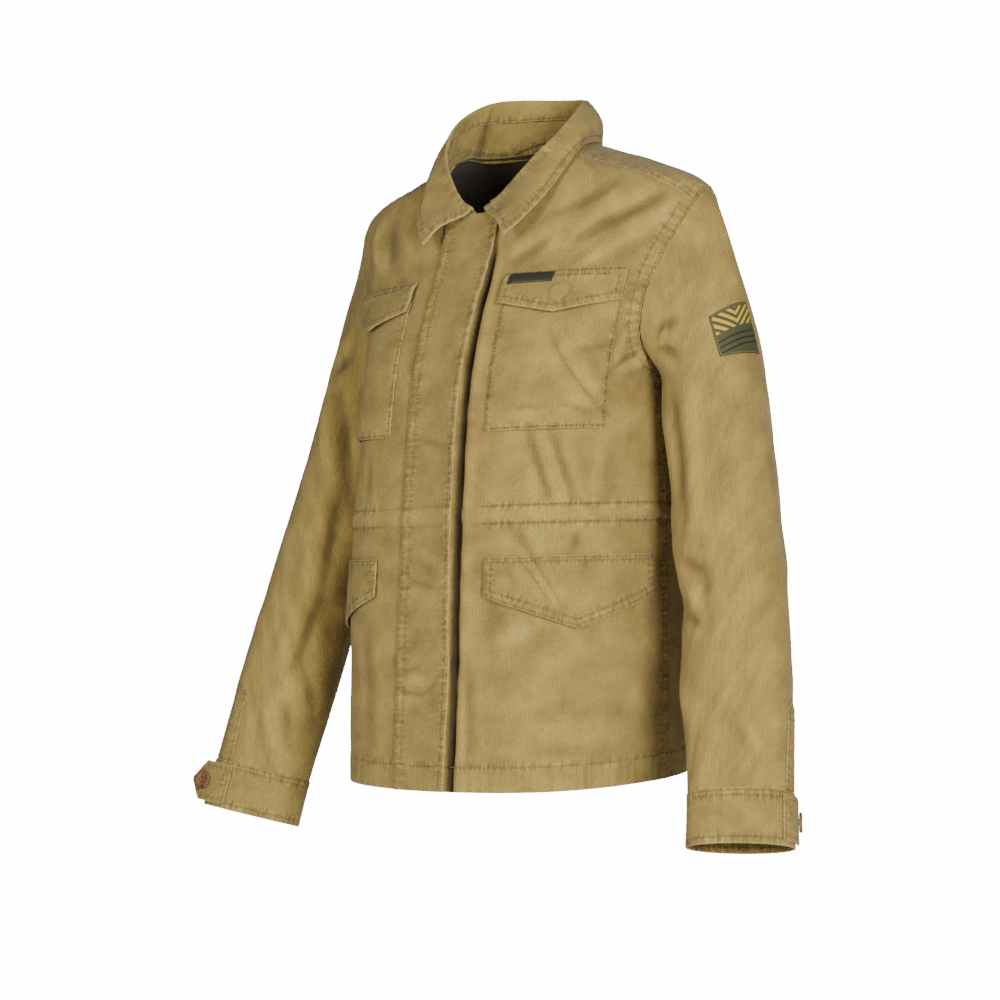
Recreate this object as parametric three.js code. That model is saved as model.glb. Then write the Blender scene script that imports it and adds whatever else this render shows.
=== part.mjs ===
// A woman's field jacket in cotton twill, in the shape it has when worn, with nobody inside.
// Millimetres, +Z up. The wearer faces -Y and +X is the wearer's left. The origin is the middle of the
// neck, level with the place where the shoulder ridge meets the neck seam.
import * as THREE from "three";

// Cloth and sewing
const CLOTH = 1.6; // wall of one panel, with its seam allowances
const FOLDED = 2.4; // two layers and what stiffens them: collar, cuffs, flaps, placket
const HEM_CLOTH = 2.4; // turned hem
const SEAM_GAP = 0.3; // between pieces at a seam
const LYING_GAP = 0.6; // between a panel and a piece that lies on it

// Heights on the body
const HEM = -629;
const HEM_STITCH = 24; // above the hem
const HEM_BACK_RISE = 16;
const WAIST = -366; // middle of the drawcord tunnel
const TUNNEL = 17; // its height
const TUNNEL_RAISE = 1.4;

// Horizontal rings of the body, from the hem to the neck. square makes a ring boxier than an ellipse.
const BODY = [
  { z: -645, side: 165, middle: -8, front: 165, back: 112, square: 0.04 },
  { z: -540, side: 166, middle: -8, front: 160, back: 110, square: 0.045 },
  { z: -440, side: 166, middle: -7, front: 156, back: 107, square: 0.05 },
  { z: -366, side: 165, middle: -6, front: 152, back: 104, square: 0.05 },
  { z: -290, side: 162, middle: -4, front: 147, back: 104, square: 0.045 },
  { z: -222, side: 157, middle: -2, front: 139, back: 108, square: 0.04 },
  { z: -170, side: 178, middle: 0, front: 124, back: 111, square: 0.02 },
  { z: -120, side: 198, middle: 2, front: 103, back: 105, square: 0.01 },
  { z: -88, side: 209, middle: 3, front: 95, back: 96, square: 0 },
  { z: -62, side: 206, middle: 4, front: 88, back: 87, square: 0 },
  { z: -43, side: 186, middle: 4, front: 80, back: 78, square: 0 },
  { z: -28, side: 150, middle: 4, front: 71, back: 68, square: 0 },
  { z: -14, side: 110, middle: 3, front: 61, back: 57, square: 0 },
  { z: 0, side: 70, middle: 1, front: 50, back: 49, square: 0 },
  { z: 12, side: 54, middle: 0, front: 43, back: 44, square: 0 },
];

// Neck seam and armhole, as curves on the body
const NECK_HALF = 68;
const NECK_DROP = 70;
const NECK_BACK_RISE = 5;
const ARMHOLE = { top: -60, bottom: -222, frontTurn: 24, backTurn: 27 };
const YOKE_NECK = 0.1; // share of the front neck seam that is behind the yoke's front seam
const YOKE_ARM_TURN = 36; // round the armhole from its top
const YOKE_BACK = -122; // height of the seam across the back

// Front edges, as distances round the body from the centre front
const CENTRE = -9; // the front hangs this far round to the wearer's right
const LEFT_FRONT_EDGE = CENTRE - 22;
const RIGHT_FRONT_EDGE = -CENTRE + 26;
const PLACKET = { inner: CENTRE - 32, outer: CENTRE + 33, lift: 3.5 };

// The wearer's left shoulder is held higher: how much the height changes with x, and where that fades
const TILT = { rise: 0.045, from: -900, to: -60 };

// Rings of the arms below the underarm, down the middle of the sleeve. Towards the cuff the rings are flat,
// and TWIST is how far they have turned there, in degrees from the outer side to the front.
const ARM = [
  { down: 0, x: 210, y: 6, z: -246, wide: 48, deep: 60 },
  { down: 30, x: 216, y: 2, z: -275, wide: 50, deep: 59 },
  { down: 110, x: 236, y: -13, z: -351, wide: 50, deep: 56 },
  { down: 207, x: 258, y: -33, z: -443, wide: 51, deep: 51 },
  { down: 310, x: 278, y: -55, z: -541, wide: 51, deep: 43 },
  { down: 400, x: 293, y: -75, z: -626, wide: 49.5, deep: 33 },
  { down: 450, x: 300, y: -86, z: -674, wide: 50, deep: 31 },
];
const CUFF_TOP = 400;
const CUFF_END = 450;
const TWIST = { left: -37, right: 37 };

// Soft folds of the body: a line from one place to another, given by the turn round the body from the
// wearer's left, in degrees, and the height
const BODY_FOLDS = [
  { turn: -66, z: -96, endTurn: -30, endZ: -120, width: 26, height: 2.5 },
  { turn: -116, z: -100, endTurn: -148, endZ: -124, width: 26, height: 2.5 },
  { turn: -58, z: -316, endTurn: -50, endZ: -344, width: 22, height: 2 },
  { turn: -80, z: -400, endTurn: -82, endZ: -600, width: 24, height: -2.5 },
  { turn: -18, z: -400, endTurn: -16, endZ: -610, width: 30, height: 3 },
  { turn: -160, z: -420, endTurn: -164, endZ: -620, width: 30, height: 3 },
  { turn: 50, z: -300, endTurn: 44, endZ: -600, width: 34, height: 5 },
  { turn: 92, z: -250, endTurn: 88, endZ: -600, width: 36, height: -5 },
  { turn: 134, z: -300, endTurn: 138, endZ: -600, width: 34, height: 5 },
  { turn: 48, z: -160, endTurn: 56, endZ: -260, width: 28, height: 4 },
  { turn: 132, z: -160, endTurn: 124, endZ: -260, width: 28, height: 4 },
];
const FOLD_RADIUS = 150; // turns a difference in angle into a distance

// Soft folds of a sleeve: round is degrees from the outer side towards the front
const SLEEVE_FOLDS = [
  { round: 150, down: -60, endRound: 110, endDown: 60, width: 16, height: -4 },
  { round: 200, down: 60, endRound: 130, endDown: 190, width: 18, height: 4 },
  { round: 210, down: 150, endRound: 120, endDown: 250, width: 16, height: -4 },
  { round: 250, down: 120, endRound: 330, endDown: 200, width: 20, height: 4 },
  { round: 20, down: -110, endRound: 35, endDown: 20, width: 18, height: 3 },
  { round: 180, down: 260, endRound: 100, endDown: 350, width: 16, height: 3.5 },
];

// Pieces that lie on the body: across is the distance round the body from the centre front
const CHEST_POCKET = { across: 59, width: 120, top: -153, height: 134 };
const CHEST_FLAP = { across: 56, width: 120, top: -134, side: 31, point: 44 };
const LOWER_FLAP = { across: 67, width: 182, top: -406, side: 37, point: 68 };
const LABEL = { across: 62, width: 46, top: -137, height: 11 };
const LABEL_THICK = 0.8;
const LABEL_GAP = 0.7;
const SLEEVE_PATCH = { round: 21, v: 0.8, width: 54, height: 49, skew: 8, lean: 9, gap: 0.9 };

// Collar, from the middle of the back (0) to its front ends (1): where it rolls over, and its outer edge.
// The stand goes STAND of the way from the neck seam to the roll.
const COLLAR = [
  { at: -0.25, rollX: -40, rollY: 31, rollZ: 52, edgeX: -48, edgeY: 46, edgeZ: 3 },
  { at: 0, rollX: 0, rollY: 48, rollZ: 53, edgeX: 0, edgeY: 66, edgeZ: 4 },
  { at: 0.25, rollX: 40, rollY: 31, rollZ: 52, edgeX: 48, edgeY: 46, edgeZ: 3 },
  { at: 0.43, rollX: 58, rollY: 1, rollZ: 45, edgeX: 77, edgeY: 1, edgeZ: 2 },
  { at: 0.5, rollX: 69, rollY: -34, rollZ: 26, edgeX: 84, edgeY: -30, edgeZ: -5 },
  { at: 0.6, rollX: 66, rollY: -57, rollZ: 2, edgeX: 86, edgeY: -53, edgeZ: -21 },
  { at: 0.7, rollX: 54, rollY: -71, rollZ: -18, edgeX: 81, edgeY: -77, edgeZ: -48 },
  { at: 0.8, rollX: 40, rollY: -81, rollZ: -36, edgeX: 74, edgeY: -94, edgeZ: -67 },
  { at: 0.9, rollX: 24, rollY: -88, rollZ: -54, edgeX: 62, edgeY: -107, edgeZ: -84 },
  { at: 1, rollX: 7, rollY: -92, rollZ: -65, edgeX: 49, edgeY: -117, edgeZ: -98 },
];
const STAND = 0.6;
const COLLAR_END = 6; // half the gap between its front ends
const COLLAR_CLEAR = { back: 0.7, ridge: 1.4, front: 2.2 }; // above the neck edge; the ridge is extra
const ROLL = { out: 6, down: 5, lean: 0.11 }; // the turn at the roll, and its height against x
const COLLAR_SWELL = 5;

// Sleeve ends and buttons
const SLIT = { length: 84, width: 21, point: 9 };
const SLIT_EDGE = { left: 38, right: 50 }; // round the flat ring from its outer end, in degrees
const TAB_BEND = { left: 78, right: 26 }; // how far the tab bends over its length, in degrees
const TAB = { start: -5, reach: 47, point: 17, height: 42, thick: 2.4, off: 0.8 };
const CUFF_OUT = 1;
const BUTTON = { radius: 9.5, thick: 3, spread: 1.8, hole: 0.9, fromPoint: 20, off: 0.6 };
const LOOP = { half: 0.24, rise: 8, high: 6, low: 0.5, thick: 1.2, inside: 2.6, bow: 3 };

const LOOKS = {
  cloth: new THREE.MeshStandardMaterial({ color: 0xa08c5c, roughness: 0.9, metalness: 0 }),
  label: new THREE.MeshStandardMaterial({ color: 0x2c2e1e, roughness: 0.8, metalness: 0 }),
  patch: new THREE.MeshStandardMaterial({ color: 0x4d4a2a, roughness: 0.85, metalness: 0 }),
  button: new THREE.MeshStandardMaterial({ color: 0x6d4a33, roughness: 0.45, metalness: 0 }),
};

const rad = THREE.MathUtils.degToRad;
const mix = THREE.MathUtils.lerp;
const point = (x, y, z) => new THREE.Vector3(x, y, z);
const pair = (a, b, t) => [mix(a[0], b[0], t), mix(a[1], b[1], t)];
const steps = (from, to, count) => Array.from({ length: count + 1 }, (_, i) => mix(from, to, i / count));
const LEFT = 1;
const RIGHT = -1;
const FRONT = -Math.PI / 2;
const nameOf = (side) => (side === LEFT ? "left" : "right");

const jacket = new THREE.Group();

// One column of a table, read at a place between its rows by a smooth curve.
function read(table, key, column, place) {
  const last = table.length - 1;
  let i = 0;
  while (i < last - 1 && table[i + 1][key] < place) i++;
  const slope = (k) => {
    const before = table[Math.max(k - 1, 0)];
    const after = table[Math.min(k + 1, last)];
    return (after[column] - before[column]) / (after[key] - before[key]);
  };
  const a = table[i];
  const b = table[i + 1];
  const gap = b[key] - a[key];
  const t = (place - a[key]) / gap;
  if (t < 0) return a[column] + slope(i) * (place - a[key]);
  if (t > 1) return b[column] + slope(i + 1) * (place - b[key]);
  const rise = t * t * (3 - 2 * t);
  const leave = t * (1 - t) * (1 - t) * gap * slope(i);
  const arrive = t * t * (1 - t) * gap * slope(i + 1);
  return mix(a[column], b[column], rise) + leave - arrive;
}

// How far a set of folds moves the surface at a place given in millimetres.
function folded(lines, across, down) {
  let sum = 0;
  for (const f of lines) {
    const dx = f.x1 - f.x0;
    const dy = f.y1 - f.y0;
    const long = Math.hypot(dx, dy);
    const t = ((across - f.x0) * dx + (down - f.y0) * dy) / (long * long);
    const near = THREE.MathUtils.clamp(t, 0, 1);
    const side = Math.hypot(across - f.x0 - near * dx, down - f.y0 - near * dy) / f.width;
    const swell = 0.35 + 0.65 * Math.sin(Math.PI * near);
    sum += f.height * swell * Math.exp(-side * side);
  }
  return sum;
}

// The body

function ringAt(turn, z) {
  const square = read(BODY, "z", "square", z);
  const c = (Math.cos(turn) - square * Math.cos(3 * turn)) / (1 - square);
  const s = (Math.sin(turn) + square * Math.sin(3 * turn)) / (1 - square);
  const depth = read(BODY, "z", s < 0 ? "front" : "back", z);
  return point(read(BODY, "z", "side", z) * c, read(BODY, "z", "middle", z) + depth * s, z);
}

function outward(surface, u, v, du, dv) {
  const across = surface(u + du, v).sub(surface(u - du, v));
  const up = surface(u, v + dv).sub(surface(u, v - dv));
  return across.cross(up).normalize();
}

const bodyLines = BODY_FOLDS.map((f) => ({
  x0: rad(f.turn) * FOLD_RADIUS,
  y0: f.z,
  x1: rad(f.endTurn) * FOLD_RADIUS,
  y1: f.endZ,
  width: f.width,
  height: f.height,
}));

// Turn is measured from the wearer's left, and is negative over the front.
function bodyAt(turn, z) {
  const over = turn < -1.5 * Math.PI + 0.2 ? turn + 2 * Math.PI : turn;
  const height = Math.abs(z - WAIST) / (TUNNEL / 2);
  const tunnel = TUNNEL_RAISE * Math.max(0, 1 - height * height);
  const fold = folded(bodyLines, over * FOLD_RADIUS, z) + tunnel;
  return ringAt(turn, z).addScaledVector(outward(ringAt, turn, z, 0.01, 0.5), fold);
}

const hemAt = (turn) => HEM + HEM_BACK_RISE * (0.5 + 0.5 * Math.sin(turn));

// The turn at a distance round the body from the centre front, towards the wearer's left.
function turnAt(across, z) {
  const stride = rad(2) * Math.sign(across || 1);
  const goal = Math.abs(across);
  let turn = FRONT;
  let here = ringAt(turn, z);
  for (let gone = 0; ; turn += stride) {
    const next = ringAt(turn + stride, z);
    const length = next.distanceTo(here);
    if (gone + length >= goal) return turn + (stride * (goal - gone)) / length;
    gone += length;
    here = next;
  }
}

// The turn at a distance x from the middle plane, on the front or the back.
function turnAtX(x, z, face) {
  let low = 0;
  let high = Math.PI / 2;
  for (let k = 0; k < 40; k++) {
    const mid = (low + high) / 2;
    if (ringAt(mid, z).x > Math.abs(x)) low = mid;
    else high = mid;
  }
  const turn = face * low;
  return x < 0 ? face * Math.PI - turn : turn;
}

// Places on the body are pairs of turn and height. The front neck seam runs from 0 at the ridge to 1 at
// the centre front, and on past it.
function neckFront(t) {
  const z = -NECK_DROP * Math.sin((t * Math.PI) / 2);
  return [turnAtX(NECK_HALF * Math.cos((t * Math.PI) / 2), z, -1), z];
}

function neckBack(t) {
  const turn = (t * Math.PI) / 2;
  return [turn, NECK_BACK_RISE * Math.sin(turn) ** 2];
}

// Round the armhole: 0 is its top, half a turn its bottom, and a negative angle is behind.
function armhole(round) {
  const { top, bottom, frontTurn, backTurn } = ARMHOLE;
  const z = mix(bottom, top, 0.5 + 0.5 * Math.cos(round));
  const most = rad(round > 0 ? frontTurn : backTurn);
  return [-most * Math.sin(round), z];
}

const yokeBackRound = Math.acos((2 * (YOKE_BACK - ARMHOLE.bottom)) / (ARMHOLE.top - ARMHOLE.bottom) - 1);

const yokeSeam = (t) => pair(neckFront(YOKE_NECK), armhole(rad(YOKE_ARM_TURN)), t);

// A patch of places between four edges, each a function from 0 to 1.
function patch(bottom, top, start, end) {
  return (s, t) => {
    const ruled = pair(bottom(s), top(s), t);
    const sides = pair(start(t), end(t), s);
    const corners = pair(pair(bottom(0), bottom(1), s), pair(top(0), top(1), s), t);
    return [ruled[0] + sides[0] - corners[0], ruled[1] + sides[1] - corners[1]];
  };
}

const mirrored = (turn) => -Math.PI - turn;

// Walls

const valueOf = (f, u, v) => (typeof f === "function" ? f(u, v) : f);

// Moves the outer rows and columns of a grid in, to leave half a seam gap.
function drawIn(grid, closed) {
  const rows = grid.length;
  const columns = grid[0].length;
  const toward = (p, q) => p.clone().add(q.clone().sub(p).setLength(SEAM_GAP / 2));
  const ends = (list) => {
    list[0] = toward(list[0], list[1]);
    list[list.length - 1] = toward(list[list.length - 1], list[list.length - 2]);
    return list;
  };
  if (!closed) grid = grid.map((row) => ends([...row]));
  for (let i = 0; i < columns; i++) {
    const column = ends(grid.map((row) => row[i]));
    for (let j = 0; j < rows; j++) grid[j][i] = column[j];
  }
  return grid;
}

// A closed wall on a surface. us and vs are where its columns and rows are, out moves its outer face off
// the surface, and side is RIGHT where the surface is a mirror image.
function sheet(name, look, surface, us, vs, options = {}) {
  const { closed = false, out = 0, thick = CLOTH, side = LEFT } = options;
  const facing = options.facing ?? ((u, v) => outward(surface, u, v, 1e-3, 1e-3).multiplyScalar(side));
  const normals = vs.map((v) => us.map((u) => facing(u, v)));
  const layer = (depth) => {
    const grid = vs.map((v, j) =>
      us.map((u, i) => {
        const off = valueOf(out, u, v) - depth * valueOf(thick, u, v);
        return surface(u, v).addScaledVector(normals[j][i], off);
      }),
    );
    return drawIn(grid, closed);
  };
  const points = [...layer(0).flat(), ...layer(1).flat()];
  const wide = us.length;
  const high = vs.length;
  const inner = wide * high;
  const index = [];
  const face = (a, b, c) => (side === LEFT ? index.push(a, b, c) : index.push(a, c, b));
  const quad = (a, b, c, d) => {
    face(a, b, c);
    face(a, c, d);
  };
  const last = closed ? wide : wide - 1;
  for (let j = 0; j < high - 1; j++) {
    for (let i = 0; i < last; i++) {
      const a = j * wide + i;
      const b = j * wide + ((i + 1) % wide);
      const corners = [a, b, b + wide, a + wide];
      const across = points[a].distanceTo(points[b + wide]) > points[b].distanceTo(points[a + wide]);
      if (across) corners.push(corners.shift());
      const [p, q, r, s] = corners;
      quad(p, q, r, s);
      face(inner + p, inner + r, inner + q);
      face(inner + p, inner + s, inner + r);
    }
  }
  for (let i = 0; i < last; i++) {
    const next = (i + 1) % wide;
    const top = (high - 1) * wide;
    quad(next, i, inner + i, inner + next);
    quad(top + i, top + next, inner + top + next, inner + top + i);
  }
  for (let j = 0; j < high - 1 && !closed; j++) {
    const a = j * wide;
    const b = a + wide - 1;
    quad(a, a + wide, inner + a + wide, inner + a);
    quad(b + wide, b, inner + b, inner + b + wide);
  }
  const geometry = new THREE.BufferGeometry().setFromPoints(points).setIndex(index);
  geometry.computeVertexNormals();
  const mesh = new THREE.Mesh(geometry, LOOKS[look]);
  mesh.name = name;
  jacket.add(mesh);
  return mesh;
}

// A wall on the body, given by the places of its columns and rows.
function onBodySheet(name, look, side, place, us, vs, options) {
  const turned = (u, v) => (side === LEFT ? place(u, v)[0] : mirrored(place(u, v)[0]));
  const surface = (u, v) => bodyAt(turned(u, v), place(u, v)[1]);
  const facing = (u, v) => outward(bodyAt, turned(u, v), place(u, v)[1], 0.01, 0.5);
  return sheet(name, look, surface, us, vs, { ...options, side: options.winding ?? side, facing });
}

// Panels of the body

const WAIST_ROWS = [WAIST - TUNNEL / 2 - 1, WAIST, WAIST + TUNNEL / 2 + 1];
const LOWER_ROWS = 7;
const UPPER_ROWS = 8;
const TOP_COLUMNS = 8; // of the yoke, over the top of the armhole
const SEAM_COLUMNS = 8; // along the yoke's front seam

// Rows of a panel: negative below the underarm, from -1 at the hem, and positive above it.
function panelRows() {
  const hem = HEM_STITCH / (ARMHOLE.bottom - HEM);
  const waist = WAIST_ROWS.map((z) => (z - HEM) / (ARMHOLE.bottom - HEM));
  const low = steps(hem, waist[0], 3);
  const high = steps(waist[2], 1, LOWER_ROWS - 4);
  return [0, ...low, waist[1], ...high].map((t) => t - 1).concat(steps(0, 1, UPPER_ROWS).slice(1));
}

const hemThick = (z, turn) => (z < hemAt(turn) + HEM_STITCH - 1 ? HEM_CLOTH : CLOTH);

function frontPanel(side, edge) {
  const pit = ARMHOLE.bottom;
  const neckEdge = 1 - (2 / Math.PI) * Math.asin(edge / NECK_HALF);
  const neckZ = neckFront(neckEdge)[1];
  const corner = 0.42; // share of the top edge that is neck seam
  const inner = (z) => turnAt(edge, z);
  const alongNeck = (s) => neckFront(mix(neckEdge, YOKE_NECK, s / corner));
  const upper = patch(
    (s) => [mix(inner(pit), 0, s), pit],
    (s) => (s < corner ? alongNeck(s) : yokeSeam((s - corner) / (1 - corner))),
    (t) => [inner(mix(pit, neckZ, t)), mix(pit, neckZ, t)],
    (t) => armhole(mix(Math.PI, rad(YOKE_ARM_TURN), t)),
  );
  const place = (s, t) => {
    if (t > 0) return upper(s, t);
    const z = mix(pit, hemAt(mix(inner(HEM), 0, s)), -t);
    return [mix(inner(z), 0, s), z];
  };
  const thick = (s, t) => hemThick(place(s, t)[1], place(s, t)[0]);
  const across = [...steps(0, corner, 6), ...steps(corner, 1, SEAM_COLUMNS).slice(1)];
  onBodySheet("front_" + nameOf(side), "cloth", side, place, across, panelRows(), { thick });
}

function backPanel() {
  const pit = ARMHOLE.bottom;
  const end = (t) => armhole(-mix(Math.PI, yokeBackRound, t));
  const place = (s, t) => {
    if (t <= 0) return [mix(0, Math.PI, s), mix(pit, hemAt(Math.PI * s), -t)];
    return [mix(end(t)[0], Math.PI - end(t)[0], s), end(t)[1]];
  };
  const thick = (s, t) => hemThick(place(s, t)[1], place(s, t)[0]);
  onBodySheet("back", "cloth", LEFT, place, steps(0, 1, 24), panelRows(), { thick });
}

// The yoke goes round the neck, from one front seam to the other. u runs from -1 to 1, and t from the
// neck seam outwards.
function yokePanel() {
  const bend = 0.62; // where the outer edge leaves the armhole for the back seam
  const cornerTurn = armhole(-yokeBackRound)[0];
  const innerEdge = (u) => {
    const front = 0.22;
    if (u < front) return neckFront(mix(YOKE_NECK, 0, u / front));
    return neckBack(mix(0, 1, (u - front) / (1 - front)));
  };
  const outerEdge = (u) => {
    if (u < bend) return armhole(mix(rad(YOKE_ARM_TURN), -yokeBackRound, u / bend));
    return [mix(cornerTurn, Math.PI / 2, (u - bend) / (1 - bend)), YOKE_BACK];
  };
  const place = (u, t) => {
    const [turn, z] = pair(innerEdge(1 - Math.abs(u)), outerEdge(1 - Math.abs(u)), t);
    return [u < 0 ? turn : Math.PI - turn, z];
  };
  const half = [...steps(0, bend, TOP_COLUMNS), ...steps(bend, 1, 5).slice(1)];
  const us = [...half.map((u) => u - 1), ...half.slice(0, -1).reverse().map((u) => 1 - u)];
  onBodySheet("yoke", "cloth", LEFT, place, us, steps(0, 1, SEAM_COLUMNS), { winding: RIGHT });
}

// The placket covers both front edges. It is sewn down along the wearer's right and free on the left.
function frontPlacket() {
  const { inner, outer, lift } = PLACKET;
  const place = (s, t) => {
    const across = mix(inner, outer, s);
    const fall = NECK_DROP * (1 - Math.sqrt(1 - (across / NECK_HALF) ** 2));
    const z = mix(HEM, -NECK_DROP, t) + fall * t ** 12;
    return [turnAt(across, z), z];
  };
  const out = (s, t) => FOLDED + LYING_GAP + lift * s * s * (1 - t ** 12);
  const share = (z) => (z - HEM) / (-NECK_DROP - HEM);
  const low = steps(share(HEM + HEM_STITCH), share(WAIST_ROWS[0]), 7);
  const rows = [0, ...low, share(WAIST), ...steps(share(WAIST_ROWS[2]), 1, 11)];
  onBodySheet("front_placket", "cloth", LEFT, place, steps(0, 1, 6), rows, { out, thick: FOLDED });
}

// Pockets and flaps

function onFront(name, side, { across, width, top }, fall, columns, rows, options) {
  const place = (s, t) => {
    const z = top - fall(s) * (1 - t);
    return [turnAt(across + side * CENTRE + width * s, z), z];
  };
  onBodySheet(name, "cloth", side, place, steps(0, 1, columns), steps(0, 1, rows), options);
}

function chestPocket(name, side) {
  const swell = (s, t) => 5 * Math.sin(Math.PI * s) * Math.sin(Math.PI * Math.min(1, t + 0.15));
  const out = (s, t) => CLOTH + 2 * LYING_GAP + swell(s, t);
  onFront(name, side, CHEST_POCKET, () => CHEST_POCKET.height, 8, 8, { out });
}

// A flap is sewn to the panel along its top, and goes out over the pocket that is under it.
const OVER_POCKET = CLOTH + 2 * LYING_GAP;
const flapFall = (size, s) => mix(size.side, size.point, 1 - Math.abs(2 * s - 1));

function flapOut(over, s, t) {
  const swell = (1 - t) * (1 + 0.9 * over * Math.sin(Math.PI * s));
  return FOLDED + LYING_GAP + over * Math.min(1, 4 * (1 - t)) + swell;
}

function flap(name, side, size, over) {
  const fall = (s) => flapFall(size, s);
  const out = (s, t) => flapOut(over, s, t);
  onFront(name, side, size, fall, 10, 4, { out, thick: FOLDED });
}

// Sleeves

const ROUND = 52; // turns an angle round the sleeve into a distance
const sleeveLines = SLEEVE_FOLDS.map((f) => ({
  x0: rad(f.round) * ROUND,
  y0: f.down,
  x1: rad(f.endRound) * ROUND,
  y1: f.endDown,
  width: f.width,
  height: f.height,
}));
const wrapped = (round) => ((round % (2 * Math.PI)) + 2 * Math.PI) % (2 * Math.PI);
const nearTop = (round) => (round > Math.PI ? round - 2 * Math.PI : round);
const twist = (side, down) => rad(TWIST[nameOf(side)]) * THREE.MathUtils.smoothstep(down, 40, CUFF_TOP);

// The frame of one ring of the arm: its middle, its outward and its forward direction.
function armFrame(down) {
  const at = (column, d) => read(ARM, "down", column, d);
  const middle = (d) => point(at("x", d), at("y", d), at("z", d));
  const along = middle(down + 2).sub(middle(down - 2)).normalize();
  const out = point(1, 0, 0).addScaledVector(along, -along.x).normalize();
  return { middle: middle(down), out, forward: along.clone().cross(out) };
}

// A place on a ring; flat is the angle from the outer end of the flattened ring.
function onRing(side, flat, down) {
  const { middle, out, forward } = armFrame(down);
  const turned = twist(side, down);
  const long = read(ARM, "down", "wide", down) * Math.cos(flat);
  const short = read(ARM, "down", "deep", down) * Math.sin(flat);
  return middle
    .addScaledVector(out, long * Math.cos(turned) - short * Math.sin(turned))
    .addScaledVector(forward, long * Math.sin(turned) + short * Math.cos(turned));
}

const armRing = (side, round, down) => onRing(side, round - twist(side, down), down);

// The sleeve head swings from the armhole (v = 0) to the first ring of the arm (v = 1). Below that ring
// v goes on by 1 for every HEAD millimetres.
const HEAD = 100;

function sleeveHead(side, round, v) {
  const place = armhole(nearTop(round));
  const start = bodyAt(...place);
  const out = outward(ringAt, ...place, 0.01, 0.5);
  const edge = (r) => bodyAt(...armhole(nearTop(wrapped(r))));
  const away = out.clone().cross(edge(round + 0.02).sub(edge(round - 0.02))).normalize();
  const top = 0.5 + 0.5 * Math.cos(round);
  start.addScaledVector(away, SEAM_GAP).addScaledVector(out, SEAM_GAP * (1 - top));
  const end = armRing(side, round, 0);
  const reach = end.distanceTo(start);
  const leave = away.multiplyScalar(0.15 + 0.75 * top).addScaledVector(out, 0.1 + 0.32 * (1 - top));
  leave.z -= 0.75 * (1 - top);
  leave.setLength(reach * mix(0.9, 0.78, top));
  const arrive = armRing(side, round, 4).sub(armRing(side, round, -4)).setLength(reach);
  return start
    .lerp(end, v * v * (3 - 2 * v))
    .addScaledVector(leave, v * (1 - v) * (1 - v))
    .addScaledVector(arrive, -v * v * (1 - v));
}

function bareSleeve(side, round, v) {
  const p = v < 1 ? sleeveHead(side, wrapped(round), Math.max(0, v)) : armRing(side, round, (v - 1) * HEAD);
  return side === LEFT ? p : point(-p.x, p.y, p.z);
}

function sleeveAt(side, round, v) {
  const base = (r, w) => bareSleeve(side, r, w);
  const fade = THREE.MathUtils.smoothstep(v, 0.1, 0.6) * (1 - THREE.MathUtils.smoothstep(v, 4.3, 4.9));
  const fold = folded(sleeveLines, wrapped(round) * ROUND, (v - 1) * HEAD) * fade;
  const normal = outward(base, round, Math.max(v, 0.02), 0.01, 0.01).multiplyScalar(side);
  return base(round, v).addScaledVector(normal, fold);
}

// Columns of a sleeve stand where the rows of the panels meet the armhole.
function sleeveColumns() {
  const back = steps(-Math.PI, -yokeBackRound, UPPER_ROWS);
  const top = steps(-yokeBackRound, rad(YOKE_ARM_TURN), TOP_COLUMNS).slice(1);
  const front = steps(rad(YOKE_ARM_TURN), Math.PI, UPPER_ROWS).slice(1, -1);
  return [...back, ...top, ...front];
}

const ringV = (down) => 1 + down / HEAD;

function sleeve(side) {
  const surface = (round, v) => sleeveAt(side, round, v);
  const rows = [0, 0.14, 0.3, 0.48, 0.66, 0.84, ...steps(1, ringV(CUFF_TOP), 12)];
  sheet("sleeve_" + nameOf(side), "cloth", surface, sleeveColumns(), rows, { closed: true, side });
}

function cuff(side) {
  const surface = (round, v) => bareSleeve(side, round, v);
  const rows = steps(ringV(CUFF_TOP), ringV(CUFF_END), 2);
  const options = { closed: true, side, out: CUFF_OUT, thick: FOLDED };
  sheet("cuff_" + nameOf(side), "cloth", surface, steps(-Math.PI, Math.PI, 26).slice(0, -1), rows, options);
}

// Where the slit's front edge lies, as the angle round the arm at a place down it.
function slitEdge(side, down) {
  return rad(SLIT_EDGE[nameOf(side)]) + twist(side, CUFF_TOP) + (down - CUFF_TOP) * 0.0012;
}

// The bound slit above the cuff, a strip with a pointed top.
function slitBinding(side) {
  const surface = (s, t) => {
    const rise = SLIT.length + SLIT.point * (1 - Math.abs(2 * s - 1)) - SLIT.point;
    const down = CUFF_TOP - 0.4 - rise * t;
    return sleeveAt(side, slitEdge(side, down) - ((1 - s) * SLIT.width) / ROUND, ringV(down));
  };
  const options = { side: -side, out: CLOTH + LYING_GAP, thick: CLOTH };
  sheet("sleeve_slit_" + nameOf(side), "cloth", surface, steps(0, 1, 4), steps(0, 1, 8), options);
}

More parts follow.
